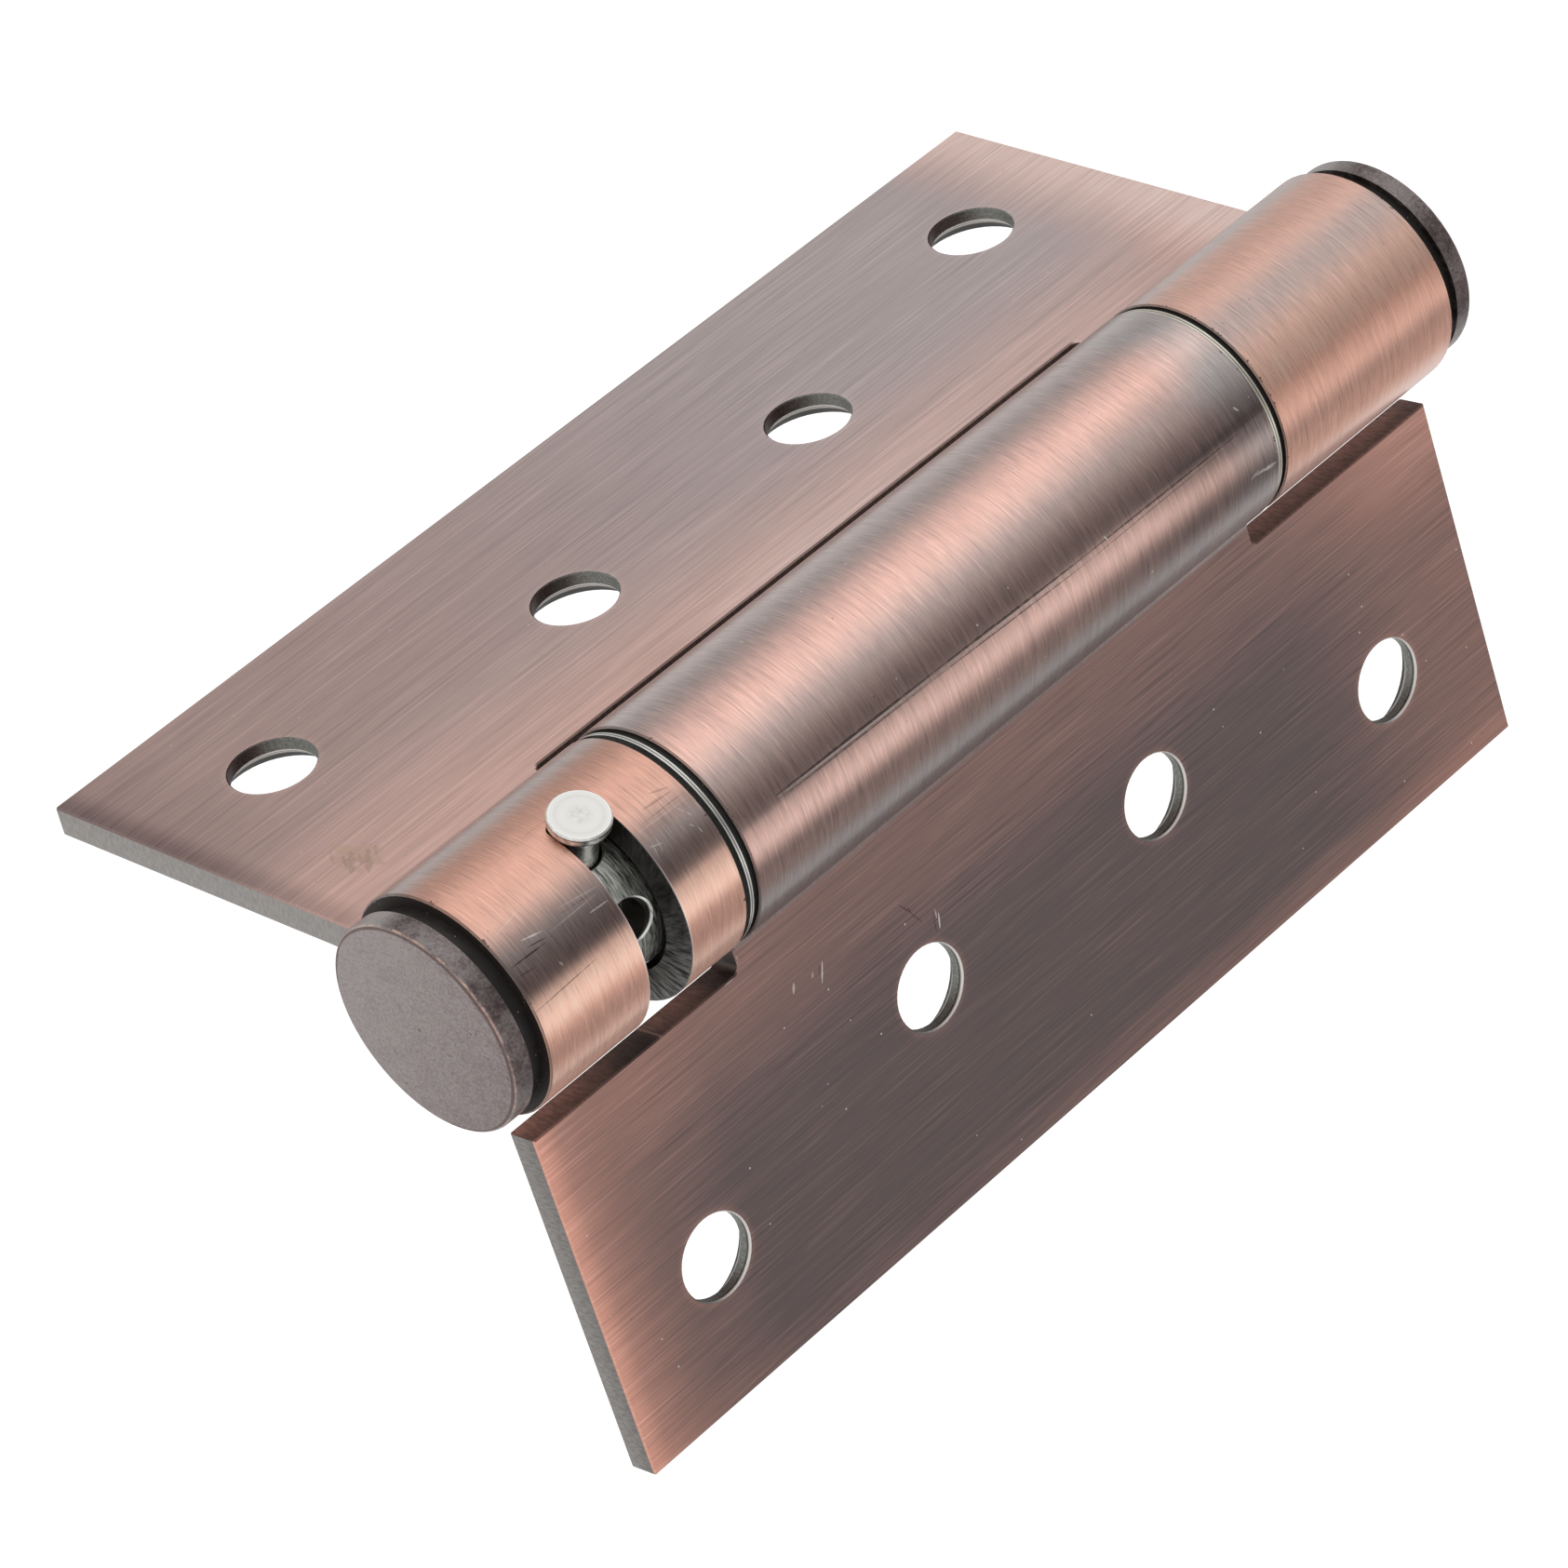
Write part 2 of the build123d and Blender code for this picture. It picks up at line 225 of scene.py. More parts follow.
# %% Hinge coordinates
def make_coordinates_group():
    tree, given, out = new_group(
        "Hinge coordinates",
        {"Pin axis": "Vector", "Leaf direction": "Vector", "Leaf normal": "Vector"},
        {"Place": "Vector", "Along leaf": "Float", "Off plane": "Float", "Height": "Float",
         "Distance": "Float", "Turn": "Float", "Knuckle": "Float", "Facing": "Float",
         "Facing up": "Float", "Facing along": "Float"},
    )
    coordinates = tree.nodes.new("ShaderNodeTexCoord")
    offset = vector_maths(tree, "SUBTRACT", coordinates.outputs["Object"], given.outputs["Pin axis"])
    in_mm = vector_maths(tree, "MULTIPLY", offset, (1000, 1000, 1000))
    flat = vector_maths(tree, "MULTIPLY", in_mm, (1, 1, 0))
    along = vector_maths(tree, "DOT_PRODUCT", in_mm, given.outputs["Leaf direction"], "Value")
    off = vector_maths(tree, "DOT_PRODUCT", in_mm, given.outputs["Leaf normal"], "Value")
    height = node(tree, "ShaderNodeSeparateXYZ", {0: in_mm}).outputs["Z"]
    distance = vector_maths(tree, "LENGTH", flat, output="Value")
    angle = maths(tree, "ARCTAN2", maths(tree, "MULTIPLY", along, -1.0), off)
    normal = coordinates.outputs["Normal"]
    up = maths(tree, "ABSOLUTE", node(tree, "ShaderNodeSeparateXYZ", {0: normal}).outputs["Z"])
    results = {
        "Place": node(tree, "ShaderNodeCombineXYZ", {0: along, 1: off, 2: height}).outputs[0],
        "Along leaf": along,
        "Off plane": off,
        "Height": height,
        "Distance": distance,
        "Turn": maths(tree, "MULTIPLY_ADD", angle, 1 / math.tau, 0.5),
        "Knuckle": fade(tree, distance, knuckle_mm + 0.75, knuckle_mm + 0.25),
        "Facing": vector_maths(tree, "DOT_PRODUCT", normal, given.outputs["Leaf normal"], "Value"),
        "Facing up": up,
        "Facing along": vector_maths(
            tree, "DOT_PRODUCT", normal, given.outputs["Leaf direction"], "Value"),
    }
    for label, value in results.items():
        tree.links.new(value, out.inputs[label])
    return tree


hinge_coordinates = make_coordinates_group()


def on_hinge(tree, direction=frame_direction, normal=frame_normal):
    """Where a point is, seen from the frame leaf or from another one."""
    return place(
        tree, hinge_coordinates, Pin_axis=pin_axis, Leaf_direction=direction, Leaf_normal=normal
    )


print("made the group", hinge_coordinates.name)

# %% [markdown]
# ## Brushed grain
#
# A polishing belt leaves fine lines that are long one way and very thin the other. The same comes
# from noise whose coordinates are squeezed: many changes across the belt's path, and few along it.
# The group gives a fine grain, single light and dark hairlines where a coarser grit cut, a broad
# change, and a height for the bump. The first three swing round zero.

# %% Brushed grain group
def moved_by_seed(tree, vector, seed, step):
    """Moves the coordinates, so that two seeds give two patterns."""
    by = maths(tree, "MULTIPLY", seed, step)
    shift = node(tree, "ShaderNodeCombineXYZ", {0: by, 1: by, 2: by}).outputs[0]
    return vector_maths(tree, "ADD", vector, shift)


def make_grain_group():
    tree, given, out = new_group(
        "Brushed grain",
        {"Place": "Vector", "Stretch": "Vector", "Seed": "Float"},
        {"Fine": "Float", "Lines": "Float", "Broad": "Float", "Height": "Float"},
    )
    squeezed = vector_maths(tree, "MULTIPLY", given.outputs["Place"], given.outputs["Stretch"])
    vector = moved_by_seed(tree, squeezed, given.outputs["Seed"], 37.0)
    fine = noise(tree, vector, 8.0, 3.0, 0.6)
    lines = noise(tree, vector, 4.2, 2.0, 0.5)
    broad = noise(tree, vector, 0.9, 2.0, 0.5)
    light = fade(tree, lines, 0.55, 0.66)
    dark = fade(tree, lines, 0.45, 0.33)
    results = {
        "Fine": fade(tree, fine, 0.3, 0.7, -1.0, 1.0),
        "Lines": maths(tree, "SUBTRACT", light, dark),
        "Broad": fade(tree, broad, 0.3, 0.7, -1.0, 1.0),
        "Height": maths(tree, "MULTIPLY_ADD", fine, 0.6, maths(tree, "MULTIPLY", lines, 0.4)),
    }
    for label, value in results.items():
        tree.links.new(value, out.inputs[label])
    return tree


brushed_grain = make_grain_group()
print("made the group", brushed_grain.name)

# %% [markdown]
# ## Antique plating
#
# Antique copper starts as bright copper plate, is blackened all over, and is then brushed. The belt
# takes the black off what it presses on, and leaves it in the middle of a flat face, where the sheet
# is slightly hollow. In between, the rubbed patina is a warm grey, and where the belt pressed hardest
# the copper is polished. So the colour is a mix of copper, polished copper, grey and dark patina, by
# three shares that the grain breaks up. The hairlines also make the plate a little lighter or darker
# by themselves.

# %% Antique plating group
def make_plating_group():
    tree, given, out = new_group(
        "Antique plating",
        {"Copper": "Color", "Grey": "Color", "Patina": "Color", "Polished": "Color",
         "Grey share": "Float", "Patina share": "Float", "Polished share": "Float",
         "Fine": "Float", "Lines": "Float", "Broad": "Float", "Contrast": "Float"},
        {"Color": "Color"},
    )
    fine = maths(tree, "MULTIPLY", given.outputs["Fine"], -0.035)
    lines = maths(tree, "MULTIPLY_ADD", given.outputs["Lines"], -0.04, fine)
    grain = maths(tree, "MULTIPLY_ADD", given.outputs["Broad"], 0.012, lines)
    grey = maths(tree, "ADD", given.outputs["Grey share"], grain, clamp=True)
    dark = maths(tree, "ADD", given.outputs["Patina share"], grain, clamp=True)
    bright = maths(tree, "MULTIPLY", given.outputs["Lines"], 0.1)
    bright = maths(tree, "ADD", given.outputs["Polished share"], bright, clamp=True)
    copper = mix(tree, bright, given.outputs["Copper"], given.outputs["Polished"])
    plate = mix(tree, grey, copper, given.outputs["Grey"])
    aged = mix(tree, dark, plate, given.outputs["Patina"])
    shade = maths(tree, "MULTIPLY", given.outputs["Fine"], 0.6)
    shade = maths(tree, "ADD", shade, given.outputs["Lines"])
    shade = maths(tree, "MULTIPLY_ADD", shade, given.outputs["Contrast"], 1.0)
    tree.links.new(mix(tree, 1.0, aged, shade, "MULTIPLY"), out.inputs["Color"])
    return tree


antique_plating = make_plating_group()
print("made the group", antique_plating.name)

# %% [markdown]
# ## The nearest screw hole
#
# The finish changes round the screw holes: the belt dips into their rims, and their walls were drilled
# after the sheet was cut. A leaf has four holes, two near its ends and two in the middle, nearer the
# barrel. This group gives the distance to the centre of the nearest one, and how far a point lies to its
# lower side and towards the barrel. There the walls are greyer, and their painted highlight line is
# stronger.

# %% Nearest hole group
screw_pitch = 25.8
end_hole_reach = 29.15
middle_hole_reach = 23.05
hole_radius = 3.35


def make_hole_group():
    tree, given, out = new_group(
        "Nearest hole", {"Along leaf": "Float", "Height": "Float"},
        {"Distance": "Float", "Side": "Float"},
    )
    along, height = given.outputs["Along leaf"], given.outputs["Height"]
    above = maths(tree, "ABSOLUTE", height)
    point = node(tree, "ShaderNodeCombineXYZ", {0: along, 1: above})
    middle = (middle_hole_reach, screw_pitch / 2, 0)
    end = (end_hole_reach, 1.5 * screw_pitch, 0)
    to_middle = vector_maths(tree, "DISTANCE", point.outputs[0], middle, "Value")
    to_end = vector_maths(tree, "DISTANCE", point.outputs[0], end, "Value")
    tree.links.new(maths(tree, "MINIMUM", to_middle, to_end), out.inputs["Distance"])
    is_end = maths(tree, "GREATER_THAN", above, screw_pitch)
    reach = blend_values(tree, is_end, middle_hole_reach, end_hole_reach)
    out_of_centre = maths(tree, "SUBTRACT", along, reach)
    step = maths(tree, "FRACT", maths(tree, "MULTIPLY_ADD", height, 1 / screw_pitch, 8.0))
    above_centre = maths(tree, "MULTIPLY_ADD", step, screw_pitch, -screw_pitch / 2)
    below_centre = maths(tree, "MULTIPLY", above_centre, -1.0)
    side = maths(tree, "MULTIPLY_ADD", out_of_centre, -0.5, below_centre)
    tree.links.new(side, out.inputs["Side"])
    return tree


nearest_hole = make_hole_group()
print("made the group", nearest_hole.name)

# %% [markdown]
# ## Specks
#
# Small specks of dust, pits and scale sit on every piece. A Voronoi texture gives one random point in
# each cell. The group keeps only some of the cells, by a random number of their own, and draws a
# small spot of a random size there.

# %% Specks group
def make_specks_group():
    tree, given, out = new_group(
        "Specks",
        {"Place": "Vector", "Spacing": "Float", "Size": "Float", "Share": "Float", "Seed": "Float"},
        {"Mask": "Float"},
    )
    vector = moved_by_seed(tree, given.outputs["Place"], given.outputs["Seed"], 13.7)
    scale = maths(tree, "DIVIDE", 1.0, given.outputs["Spacing"])
    cells = node(tree, "ShaderNodeTexVoronoi", {"Vector": vector, "Scale": scale})
    chance = node(tree, "ShaderNodeSeparateColor", {0: cells.outputs["Color"]})
    kept = maths(tree, "LESS_THAN", chance.outputs["Red"], given.outputs["Share"])
    size = maths(tree, "MULTIPLY_ADD", chance.outputs["Green"], 0.7, 0.4)
    size = maths(tree, "MULTIPLY", size, given.outputs["Size"])
    away = maths(tree, "MULTIPLY", cells.outputs["Distance"], given.outputs["Spacing"])
    spot = fade(tree, maths(tree, "DIVIDE", away, size), 1.0, 0.6)
    tree.links.new(maths(tree, "MULTIPLY", spot, kept), out.inputs["Mask"])
    return tree


specks = make_specks_group()
print("made the group", specks.name)

# %% [markdown]
# ## Scratches
#
# The real hinge has a few scratches and rub marks that catch the eye. Each is a short straight line,
# so the group measures how far a point lies from the line between two ends, tapers the line towards
# them, and breaks it up a little.

# %% Scratch group
def make_scratch_group():
    tree, given, out = new_group(
        "Scratch",
        {"Place": "Vector", "From": "Vector", "To": "Vector", "Width": "Float"},
        {"Mask": "Float"},
    )
    start, point = given.outputs["From"], given.outputs["Place"]
    line = vector_maths(tree, "SUBTRACT", given.outputs["To"], start)
    reach = vector_maths(tree, "SUBTRACT", point, start)
    covered = vector_maths(tree, "DOT_PRODUCT", reach, line, "Value")
    squared = vector_maths(tree, "DOT_PRODUCT", line, line, "Value")
    share = maths(tree, "DIVIDE", covered, squared, clamp=True)
    scaled = node(tree, "ShaderNodeVectorMath", {0: line, "Scale": share}, operation="SCALE")
    away = vector_maths(tree, "DISTANCE", reach, scaled.outputs["Vector"], "Value")
    bend = maths(tree, "MULTIPLY", maths(tree, "SUBTRACT", share, 0.5), 2.0)
    taper = maths(tree, "MULTIPLY_ADD", maths(tree, "MULTIPLY", bend, bend), -0.7, 1.0)
    wobble = fade(tree, noise(tree, point, 1.7, 2.0), 0.3, 0.6, 0.45, 1.1)
    width = maths(tree, "MULTIPLY", given.outputs["Width"], maths(tree, "MULTIPLY", taper, wobble))
    mask = fade(tree, maths(tree, "DIVIDE", away, width), 1.0, 0.35)
    tree.links.new(mask, out.inputs["Mask"])
    return tree


scratch = make_scratch_group()
print("made the group", scratch.name)

# %% [markdown]
# ## The two leaves
#
# Both leaves are one sheet each, so each gets one material, which changes over the surface: brushed
# plate on the faces, the same brushed the other way round the knuckles, satin cut ends, and dark
# sheared edges inside the notch. The shares of grey and patina follow the brushed metal: the belt
# wore the ends and the root of a leaf down to copper, and left its middle dark.

# %% Shared steps of both leaf materials
def ramp(tree, value, stops, curve="CARDINAL"):
    """A value that follows a list of (place, level).

    The level is read from the ramp's alpha, because a value that comes from a colour costs Cycles one
    more step, and a material as large as a leaf's would run out of room.
    """
    made = node(tree, "ShaderNodeValToRGB", {"Fac": value})
    made.color_ramp.interpolation = curve
    elements = made.color_ramp.elements
    for index, (where, level) in enumerate(stops):
        stop = elements[index] if index < len(elements) else elements.new(where)
        stop.position = where
        stop.color = (level, level, level, level)
    return made.outputs["Alpha"]


def by_degrees(tree, turn, stops):
    """A value by the angle round the pin axis, 0 degrees at the mounting face's side."""
    return ramp(tree, turn, [(degrees / 360 + 0.5, level) for degrees, level in stops])


ramp_share = 0.009  # of a ramp, for each millimetre of height


def by_height(tree, height, stops):
    """A value by the height on the hinge in millimetres."""
    share = maths(tree, "MULTIPLY_ADD", height, ramp_share, 0.5)
    return ramp(tree, share, [(place_at * ramp_share + 0.5, level) for place_at, level in stops], "LINEAR")


def times(tree, *values):
    """The product."""
    product = values[0]
    for value in values[1:]:
        product = maths(tree, "MULTIPLY", product, value)
    return product


def total(tree, *values):
    """The sum, kept between 0 and 1."""
    result = values[0]
    for value in values[1:]:
        result = maths(tree, "ADD", result, value)
    return maths(tree, "ADD", result, 0.0, clamp=True)


def without(tree, value):
    """What is left of 1."""
    return maths(tree, "SUBTRACT", 1.0, value, clamp=True)


def across_brushing(tree, knuckle):
    """The direction in which the highlight is drawn out."""
    geometry = tree.nodes.new("ShaderNodeNewGeometry")
    across = vector_maths(tree, "CROSS_PRODUCT", geometry.outputs["Normal"], (0, 0, 1))
    across = vector_maths(tree, "ADD", across, (0.001, 0.001, 0.0))
    made = node(tree, "ShaderNodeMix", data_type="VECTOR")
    plug(tree, made.inputs["Factor"], knuckle)
    plug(tree, made.inputs[4], across)
    plug(tree, made.inputs[5], (0, 0, 1))
    return made.outputs[1]


print("shared steps ready")

# %% [markdown]
# The frame leaf faces the key light, so its patina looks like a light pinkish grey. It is worn to
# copper at the root and along its lower end, and dark at the upper outer corner.

# %% Shares of the frame leaf
def frame_leaf_shares(tree, where, rim):
    along, height = where["Along leaf"], where["Height"]
    root = fade(tree, along, 24.0, 10.5)
    low_end = fade(tree, height, -39.5, -49.5)
    grey = fade(tree, height, 50.0, -25.0, 0.38, 1.0)
    grey = times(tree, grey, maths(tree, "MULTIPLY_ADD", root, -0.6, 1.0))
    grey = times(tree, grey, maths(tree, "MULTIPLY_ADD", low_end, -0.95, 1.0))
    outward = fade(tree, along, 10.0, 29.0)
    upper = times(tree, fade(tree, height, -40.0, 46.0), outward, 0.33)
    top_line = fade(tree, height, 47.3, 49.6, 0.0, 0.28)
    to_corner = fade(tree, along, 12.0, 26.0, 0.05, 0.15)
    top_corner = times(tree, fade(tree, height, 40.0, 50.0), to_corner)
    worn = times(tree, fade(tree, height, -40.0, -49.0), -0.2)
    dark = total(tree, 0.1, upper, top_line, top_corner, times(tree, rim, -0.08), worn)
    middle = by_height(tree, height, ((-45, 0.0), (-22, 0.5), (0, 0.9), (16, 0.0)))
    near_root = times(tree, fade(tree, along, 17.0, 11.0), middle)
    grey = times(tree, grey, maths(tree, "MULTIPLY_ADD", near_root, -0.5, 1.0))
    polished = total(tree, fade(tree, height, -42.0, -48.5), times(tree, near_root, 0.8))
    return grey, dark, polished


# Tables by angle round the frame leaf's knuckles. The grey shares are the rubbed patina. The dark and
# polished shares are partly the plate and partly painted light: painted dark reflections of dim
# surroundings, and painted highlights.
top_knuckle_grey = (
    (-90, 0.6), (-30, 0.75), (-22, 0.9), (-14, 0.6), (-6, 0.05), (20, 0.0), (34, 0.2), (42, 0.5),
    (50, 0.8), (58, 0.6), (66, 0.35), (73, 0.0), (130, 0.0), (150, 0.3),
)
top_knuckle_patina_and_dark_reflection = (
    (-90, 0.3), (-30, 0.14), (-22, 0.13), (-14, 0.28), (-6, 0.34), (2, 0.24), (10, 0.09),
    (26, 0.19), (34, 0.14), (42, 0.38), (50, 0.62), (58, 0.82), (66, 0.76), (71, 0.08), (80, 0.0),
    (90, 0.08), (98, 0.22), (106, 0.1), (118, 0.0),
)
top_knuckle_polish_and_highlight = (
    (-90, 0.0), (64, 0.0), (72, 0.9), (84, 1.0), (90, 0.1), (102, 0.0), (112, 0.8), (150, 0.6),
)
inner_end_darker = ((-90, 0.02), (30, 0.02), (44, 0.0), (83, 0.0), (90, 0.18), (97, 0.02), (110, 0.0))
inner_end_lighter = ((-90, 0.0), (42, 0.0), (50, 0.3), (58, 0.09), (66, 0.17), (73, 0.1), (80, 0.0))
bottom_knuckle_grey = (
    (-90, 0.6), (-30, 0.8), (-22, 0.85), (-14, 0.5), (-6, 0.3), (10, 0.28), (18, 0.45), (26, 0.7),
    (34, 0.65), (42, 0.35), (50, 0.05), (58, 0.0), (106, 0.0), (114, 0.25), (130, 0.5),
)
bottom_knuckle_patina_and_dark_reflection = (
    (-90, 0.3), (-30, 0.0), (10, 0.02), (18, 0.22), (26, 0.36), (34, 0.3), (42, 0.1), (50, 0.0),
    (66, 0.03), (74, 0.12), (82, 0.27), (90, 0.46), (98, 0.17), (106, 0.03), (130, 0.03), (160, 0.2),
)
bottom_knuckle_polish_and_highlight = (
    (-90, 0.0), (34, 0.0), (46, 0.7), (60, 0.9), (68, 0.0), (100, 0.0), (108, 0.1), (150, 0.1),
)


def frame_knuckle_shares(tree, where):
    """The bands of the two knuckles of one leaf, by angle round the pin axis. The dark and polished shares
    are partly the plate and partly painted light: painted dark reflections and painted highlights.
    """
    top = fade(tree, where["Height"], -1.0, 1.0)
    turn = where["Turn"]
    grey = blend_values(
        tree, top, by_degrees(tree, turn, bottom_knuckle_grey), by_degrees(tree, turn, top_knuckle_grey)
    )
    darker = by_degrees(tree, turn, inner_end_darker)
    lighter = by_degrees(tree, turn, inner_end_lighter)
    change = maths(tree, "SUBTRACT", darker, lighter)
    change = times(tree, change, fade(tree, where["Height"], 40.0, 31.0))
    top_dark = total(tree, by_degrees(tree, turn, top_knuckle_patina_and_dark_reflection), change)
    dark = blend_values(tree, top, by_degrees(tree, turn, bottom_knuckle_patina_and_dark_reflection), top_dark)
    polished = blend_values(
        tree, top, by_degrees(tree, turn, bottom_knuckle_polish_and_highlight),
        by_degrees(tree, turn, top_knuckle_polish_and_highlight),
    )
    return grey, dark, polished


# %% [markdown]
# The door leaf keeps more of the black. Only its ends, its root and part of the outer edge are copper. The
# barrel shows bands along the pin axis, by angle round it. They are partly the plate's own patina and
# partly painted light: painted dark reflections and painted highlights.

# %% Shares of the door leaf
door_top_end = (
    (34, 0.0), (42, 0.13), (44, 0.2), (46, 0.33), (48, 0.53), (49, 0.8), (49.7, 1.0),
)


def door_leaf_shares(tree, where, rim):
    along, height = where["Along leaf"], where["Height"]
    top_end = by_height(tree, height, door_top_end)
    root = fade(tree, along, 22.0, 11.0, 0.0, 0.18)
    wide_root = times(tree, fade(tree, along, 27.0, 13.0), fade(tree, height, 18.0, 34.0), 0.06)
    root = times(tree, maths(tree, "ADD", root, wide_root), fade(tree, height, 49.0, 40.0))
    low_band = fade(tree, height, -26.0, -49.0, 0.0, 0.24)
    low_root = times(tree, fade(tree, along, 18.0, 11.5), fade(tree, height, -34.0, -46.0), 0.14)
    edge = fade(tree, along, 37.0, 41.0)
    outer = times(tree, edge, fade(tree, height, 20.0, -30.0, 0.08, 0.21))
    copper = total(tree, top_end, root, low_band, low_root, outer, times(tree, rim, 0.1))
    return 0.0, without(tree, copper), 0.0


# Tables by angle round the barrel. The grey shares are the rubbed patina. The dark and polished shares are
# partly the plate and partly painted light: painted dark reflections of dim surroundings, and painted
# highlights.
barrel_grey = (
    (-90, 0.9), (-45, 1.0), (-37, 0.85), (-29, 0.95), (-21, 0.8), (-13, 0.25), (-5, 0.1), (3, 0.2),
    (12, 0.2), (15, 0.3), (27, 0.35), (35, 0.55), (43, 0.55), (51, 0.3), (59, 0.1), (67, 0.1),
    (75, 0.25), (83, 0.55), (91, 0.8), (107, 0.8), (115, 0.55), (140, 0.6),
)
barrel_patina_and_dark_reflection = (
    (-90, 0.6), (-45, 0.62), (-37, 0.56), (-29, 0.46), (-21, 0.46), (-13, 0.66), (-5, 0.64),
    (3, 0.22), (10, 0.13), (14, 0.24), (17, 0.66), (27, 0.56), (35, 0.24), (43, 0.1), (51, 0.06),
    (67, 0.08), (75, 0.12), (83, 0.24), (91, 0.2), (99, 0.07), (107, 0.06), (115, 0.35), (140, 0.5),
)
barrel_low_patina_and_dark_reflection = (
    (-40, 0.0), (-21, 0.1), (-13, 0.2), (-4, 0.04), (3, 0.04), (11, 0.2), (19, 0.12), (29, 0.0),
    (35, 0.04), (43, 0.13), (52, 0.19), (62, 0.0),
)
barrel_high_patina_and_dark_reflection = ((-12, 0.0), (-5, 0.1), (3, 0.0), (58, 0.0), (68, 0.07), (92, 0.07), (102, 0.0))
barrel_polish_and_highlight = (
    (-15, 0.0), (-5, 0.3), (3, 0.6), (12, 0.5), (20, 0.0), (40, 0.0), (52, 0.6), (62, 0.6), (72, 0.0),
)
far_patch = ((-6, 0.0), (3, 0.5), (11, 1.0), (16, 0.6), (22, 0.0))
far_under_side = ((-90, 1.0), (-36, 1.0), (-28, 0.5), (-18, 0.0))


def barrel_shares(tree, where):
    turn, height = where["Turn"], where["Height"]
    far_end = fade(tree, height, -22.0, -28.5)
    grey = total(tree, by_degrees(tree, turn, barrel_grey), times(tree, far_end, 0.6))
    low = times(tree, by_degrees(tree, turn, barrel_low_patina_and_dark_reflection), fade(tree, height, -5.0, -22.0))
    high = times(tree, by_degrees(tree, turn, barrel_high_patina_and_dark_reflection), fade(tree, height, 5.0, 20.0))
    patch = times(tree, by_degrees(tree, turn, far_patch), fade(tree, height, -12.0, -27.0), 0.5)
    under = times(tree, by_degrees(tree, turn, far_under_side), fade(tree, height, -6.0, -26.0), -0.36)
    dark = total(tree, by_degrees(tree, turn, barrel_patina_and_dark_reflection), low, high, patch, under)
    polished = by_degrees(tree, turn, barrel_polish_and_highlight)
    return grey, dark, polished


print("shares ready")

# %% [markdown]
# ## The marks of use
#
# The scratches are listed as seen on the real piece: from angle and height, to angle and height on a
# knuckle, or by the reach along the leaf and the height on a flat face. Then come the half width and the
# strength, which is below zero for a dark scratch.

# %% List the marks
top_knuckle_marks = (
    (45.6, 47.7, 48.0, 46.0, 0.10, 0.9), (46.5, 47.3, 47.7, 46.1, 0.07, 0.7),
    (37.0, 48.9, 34.5, 46.2, 0.06, 0.4), (52.1, 49.6, 52.7, 46.4, 0.11, -0.8),
    (49.5, 47.7, 51.1, 46.1, 0.08, -0.7), (56.9, 49.7, 58.2, 48.0, 0.07, -0.6),
    (62.9, 46.3, 65.2, 46.2, 0.10, 0.6), (74.0, 49.9, 72.3, 43.7, 0.07, -0.6),
    (50.4, 45.6, 50.1, 40.9, 0.07, 0.35), (44.7, 43.9, 47.9, 40.4, 0.07, 0.35),
    (47.0, 44.4, 49.0, 40.6, 0.05, -0.4), (54.8, 42.2, 55.4, 40.5, 0.09, 0.8),
    (41.1, 35.3, 42.4, 30.3, 0.07, 0.35), (39.2, 34.5, 39.6, 30.3, 0.06, -0.4),
    (34.4, 33.7, 35.7, 31.1, 0.16, -0.35), (30.5, 32.4, 33.5, 31.0, 0.14, -0.3),
    (48.0, 35.0, 54.7, 35.2, 0.08, 0.5), (49.1, 35.3, 51.0, 34.3, 0.08, 0.6),
    (47.7, 34.5, 54.1, 34.7, 0.07, 0.5), (43.5, 31.6, 46.5, 31.4, 0.09, 0.7),
    (47.3, 31.3, 49.5, 31.1, 0.08, 0.8), (51.8, 31.7, 54.0, 31.5, 0.08, 0.7),
    (55.3, 31.3, 58.2, 31.2, 0.08, 0.6), (8.0, 41.4, 8.7, 37.9, 0.06, -0.35),
)
frame_leaf_marks = (
    (17.4, 44.1, 16.1, 45.1, 0.22, -0.13), (16.1, 44.1, 14.9, 44.9, 0.22, -0.17),
    (15.9, 43.5, 13.9, 45.3, 0.55, -0.16), (15.1, 43.4, 13.9, 44.3, 0.22, -0.15),
    (14.8, 42.8, 12.9, 44.6, 0.5, -0.19), (14.8, 42.1, 13.6, 43.0, 0.2, -0.15),
)
frame_leaf_stains = (
    (17.6, 43.6, 12.6, 43.4, 1.1, 0.5), (16.6, 44.6, 13.2, 44.9, 0.7, 0.4),
    (15.8, 42.4, 13.6, 42.6, 0.7, 0.4),
)
barrel_marks = (
    (66.2, 24.5, 67.9, 8.0, 0.14, -0.8), (67.9, 8.0, 70.4, -8.0, 0.14, -0.8),
    (70.4, -8.0, 71.4, -25.8, 0.12, -0.75), (67.4, 24.5, 69.2, 8.0, 0.08, 0.7),
    (69.2, 8.0, 71.7, -8.0, 0.07, 0.6), (68.8, 24.0, 70.6, 8.6, 0.08, -0.7),
    (70.6, 8.6, 73.6, -8.0, 0.08, -0.7), (73.6, -8.0, 73.2, -24.0, 0.07, -0.5),
    (68.6, -10.7, 71.5, -10.9, 0.1, 0.9), (60.0, -26.6, 62.8, -26.9, 0.16, 1.0),
    (96.1, -26.4, 97.3, -28.0, 0.22, 0.5), (97.2, -27.3, 97.9, -28.7, 0.25, 0.5),
    (96.6, -25.8, 94.5, -26.7, 0.18, 0.45), (-1.9, 6.3, 0.6, 6.2, 0.09, 0.7),
    (-5.6, 10.3, -4.4, 10.3, 0.12, 0.7), (-4.2, 17.0, -1.8, 16.9, 0.09, 0.6),
    (63.3, 2.8, 64.1, 2.7, 0.12, 1.0), (35.4, 7.9, 39.0, 7.8, 0.08, 0.45),
)
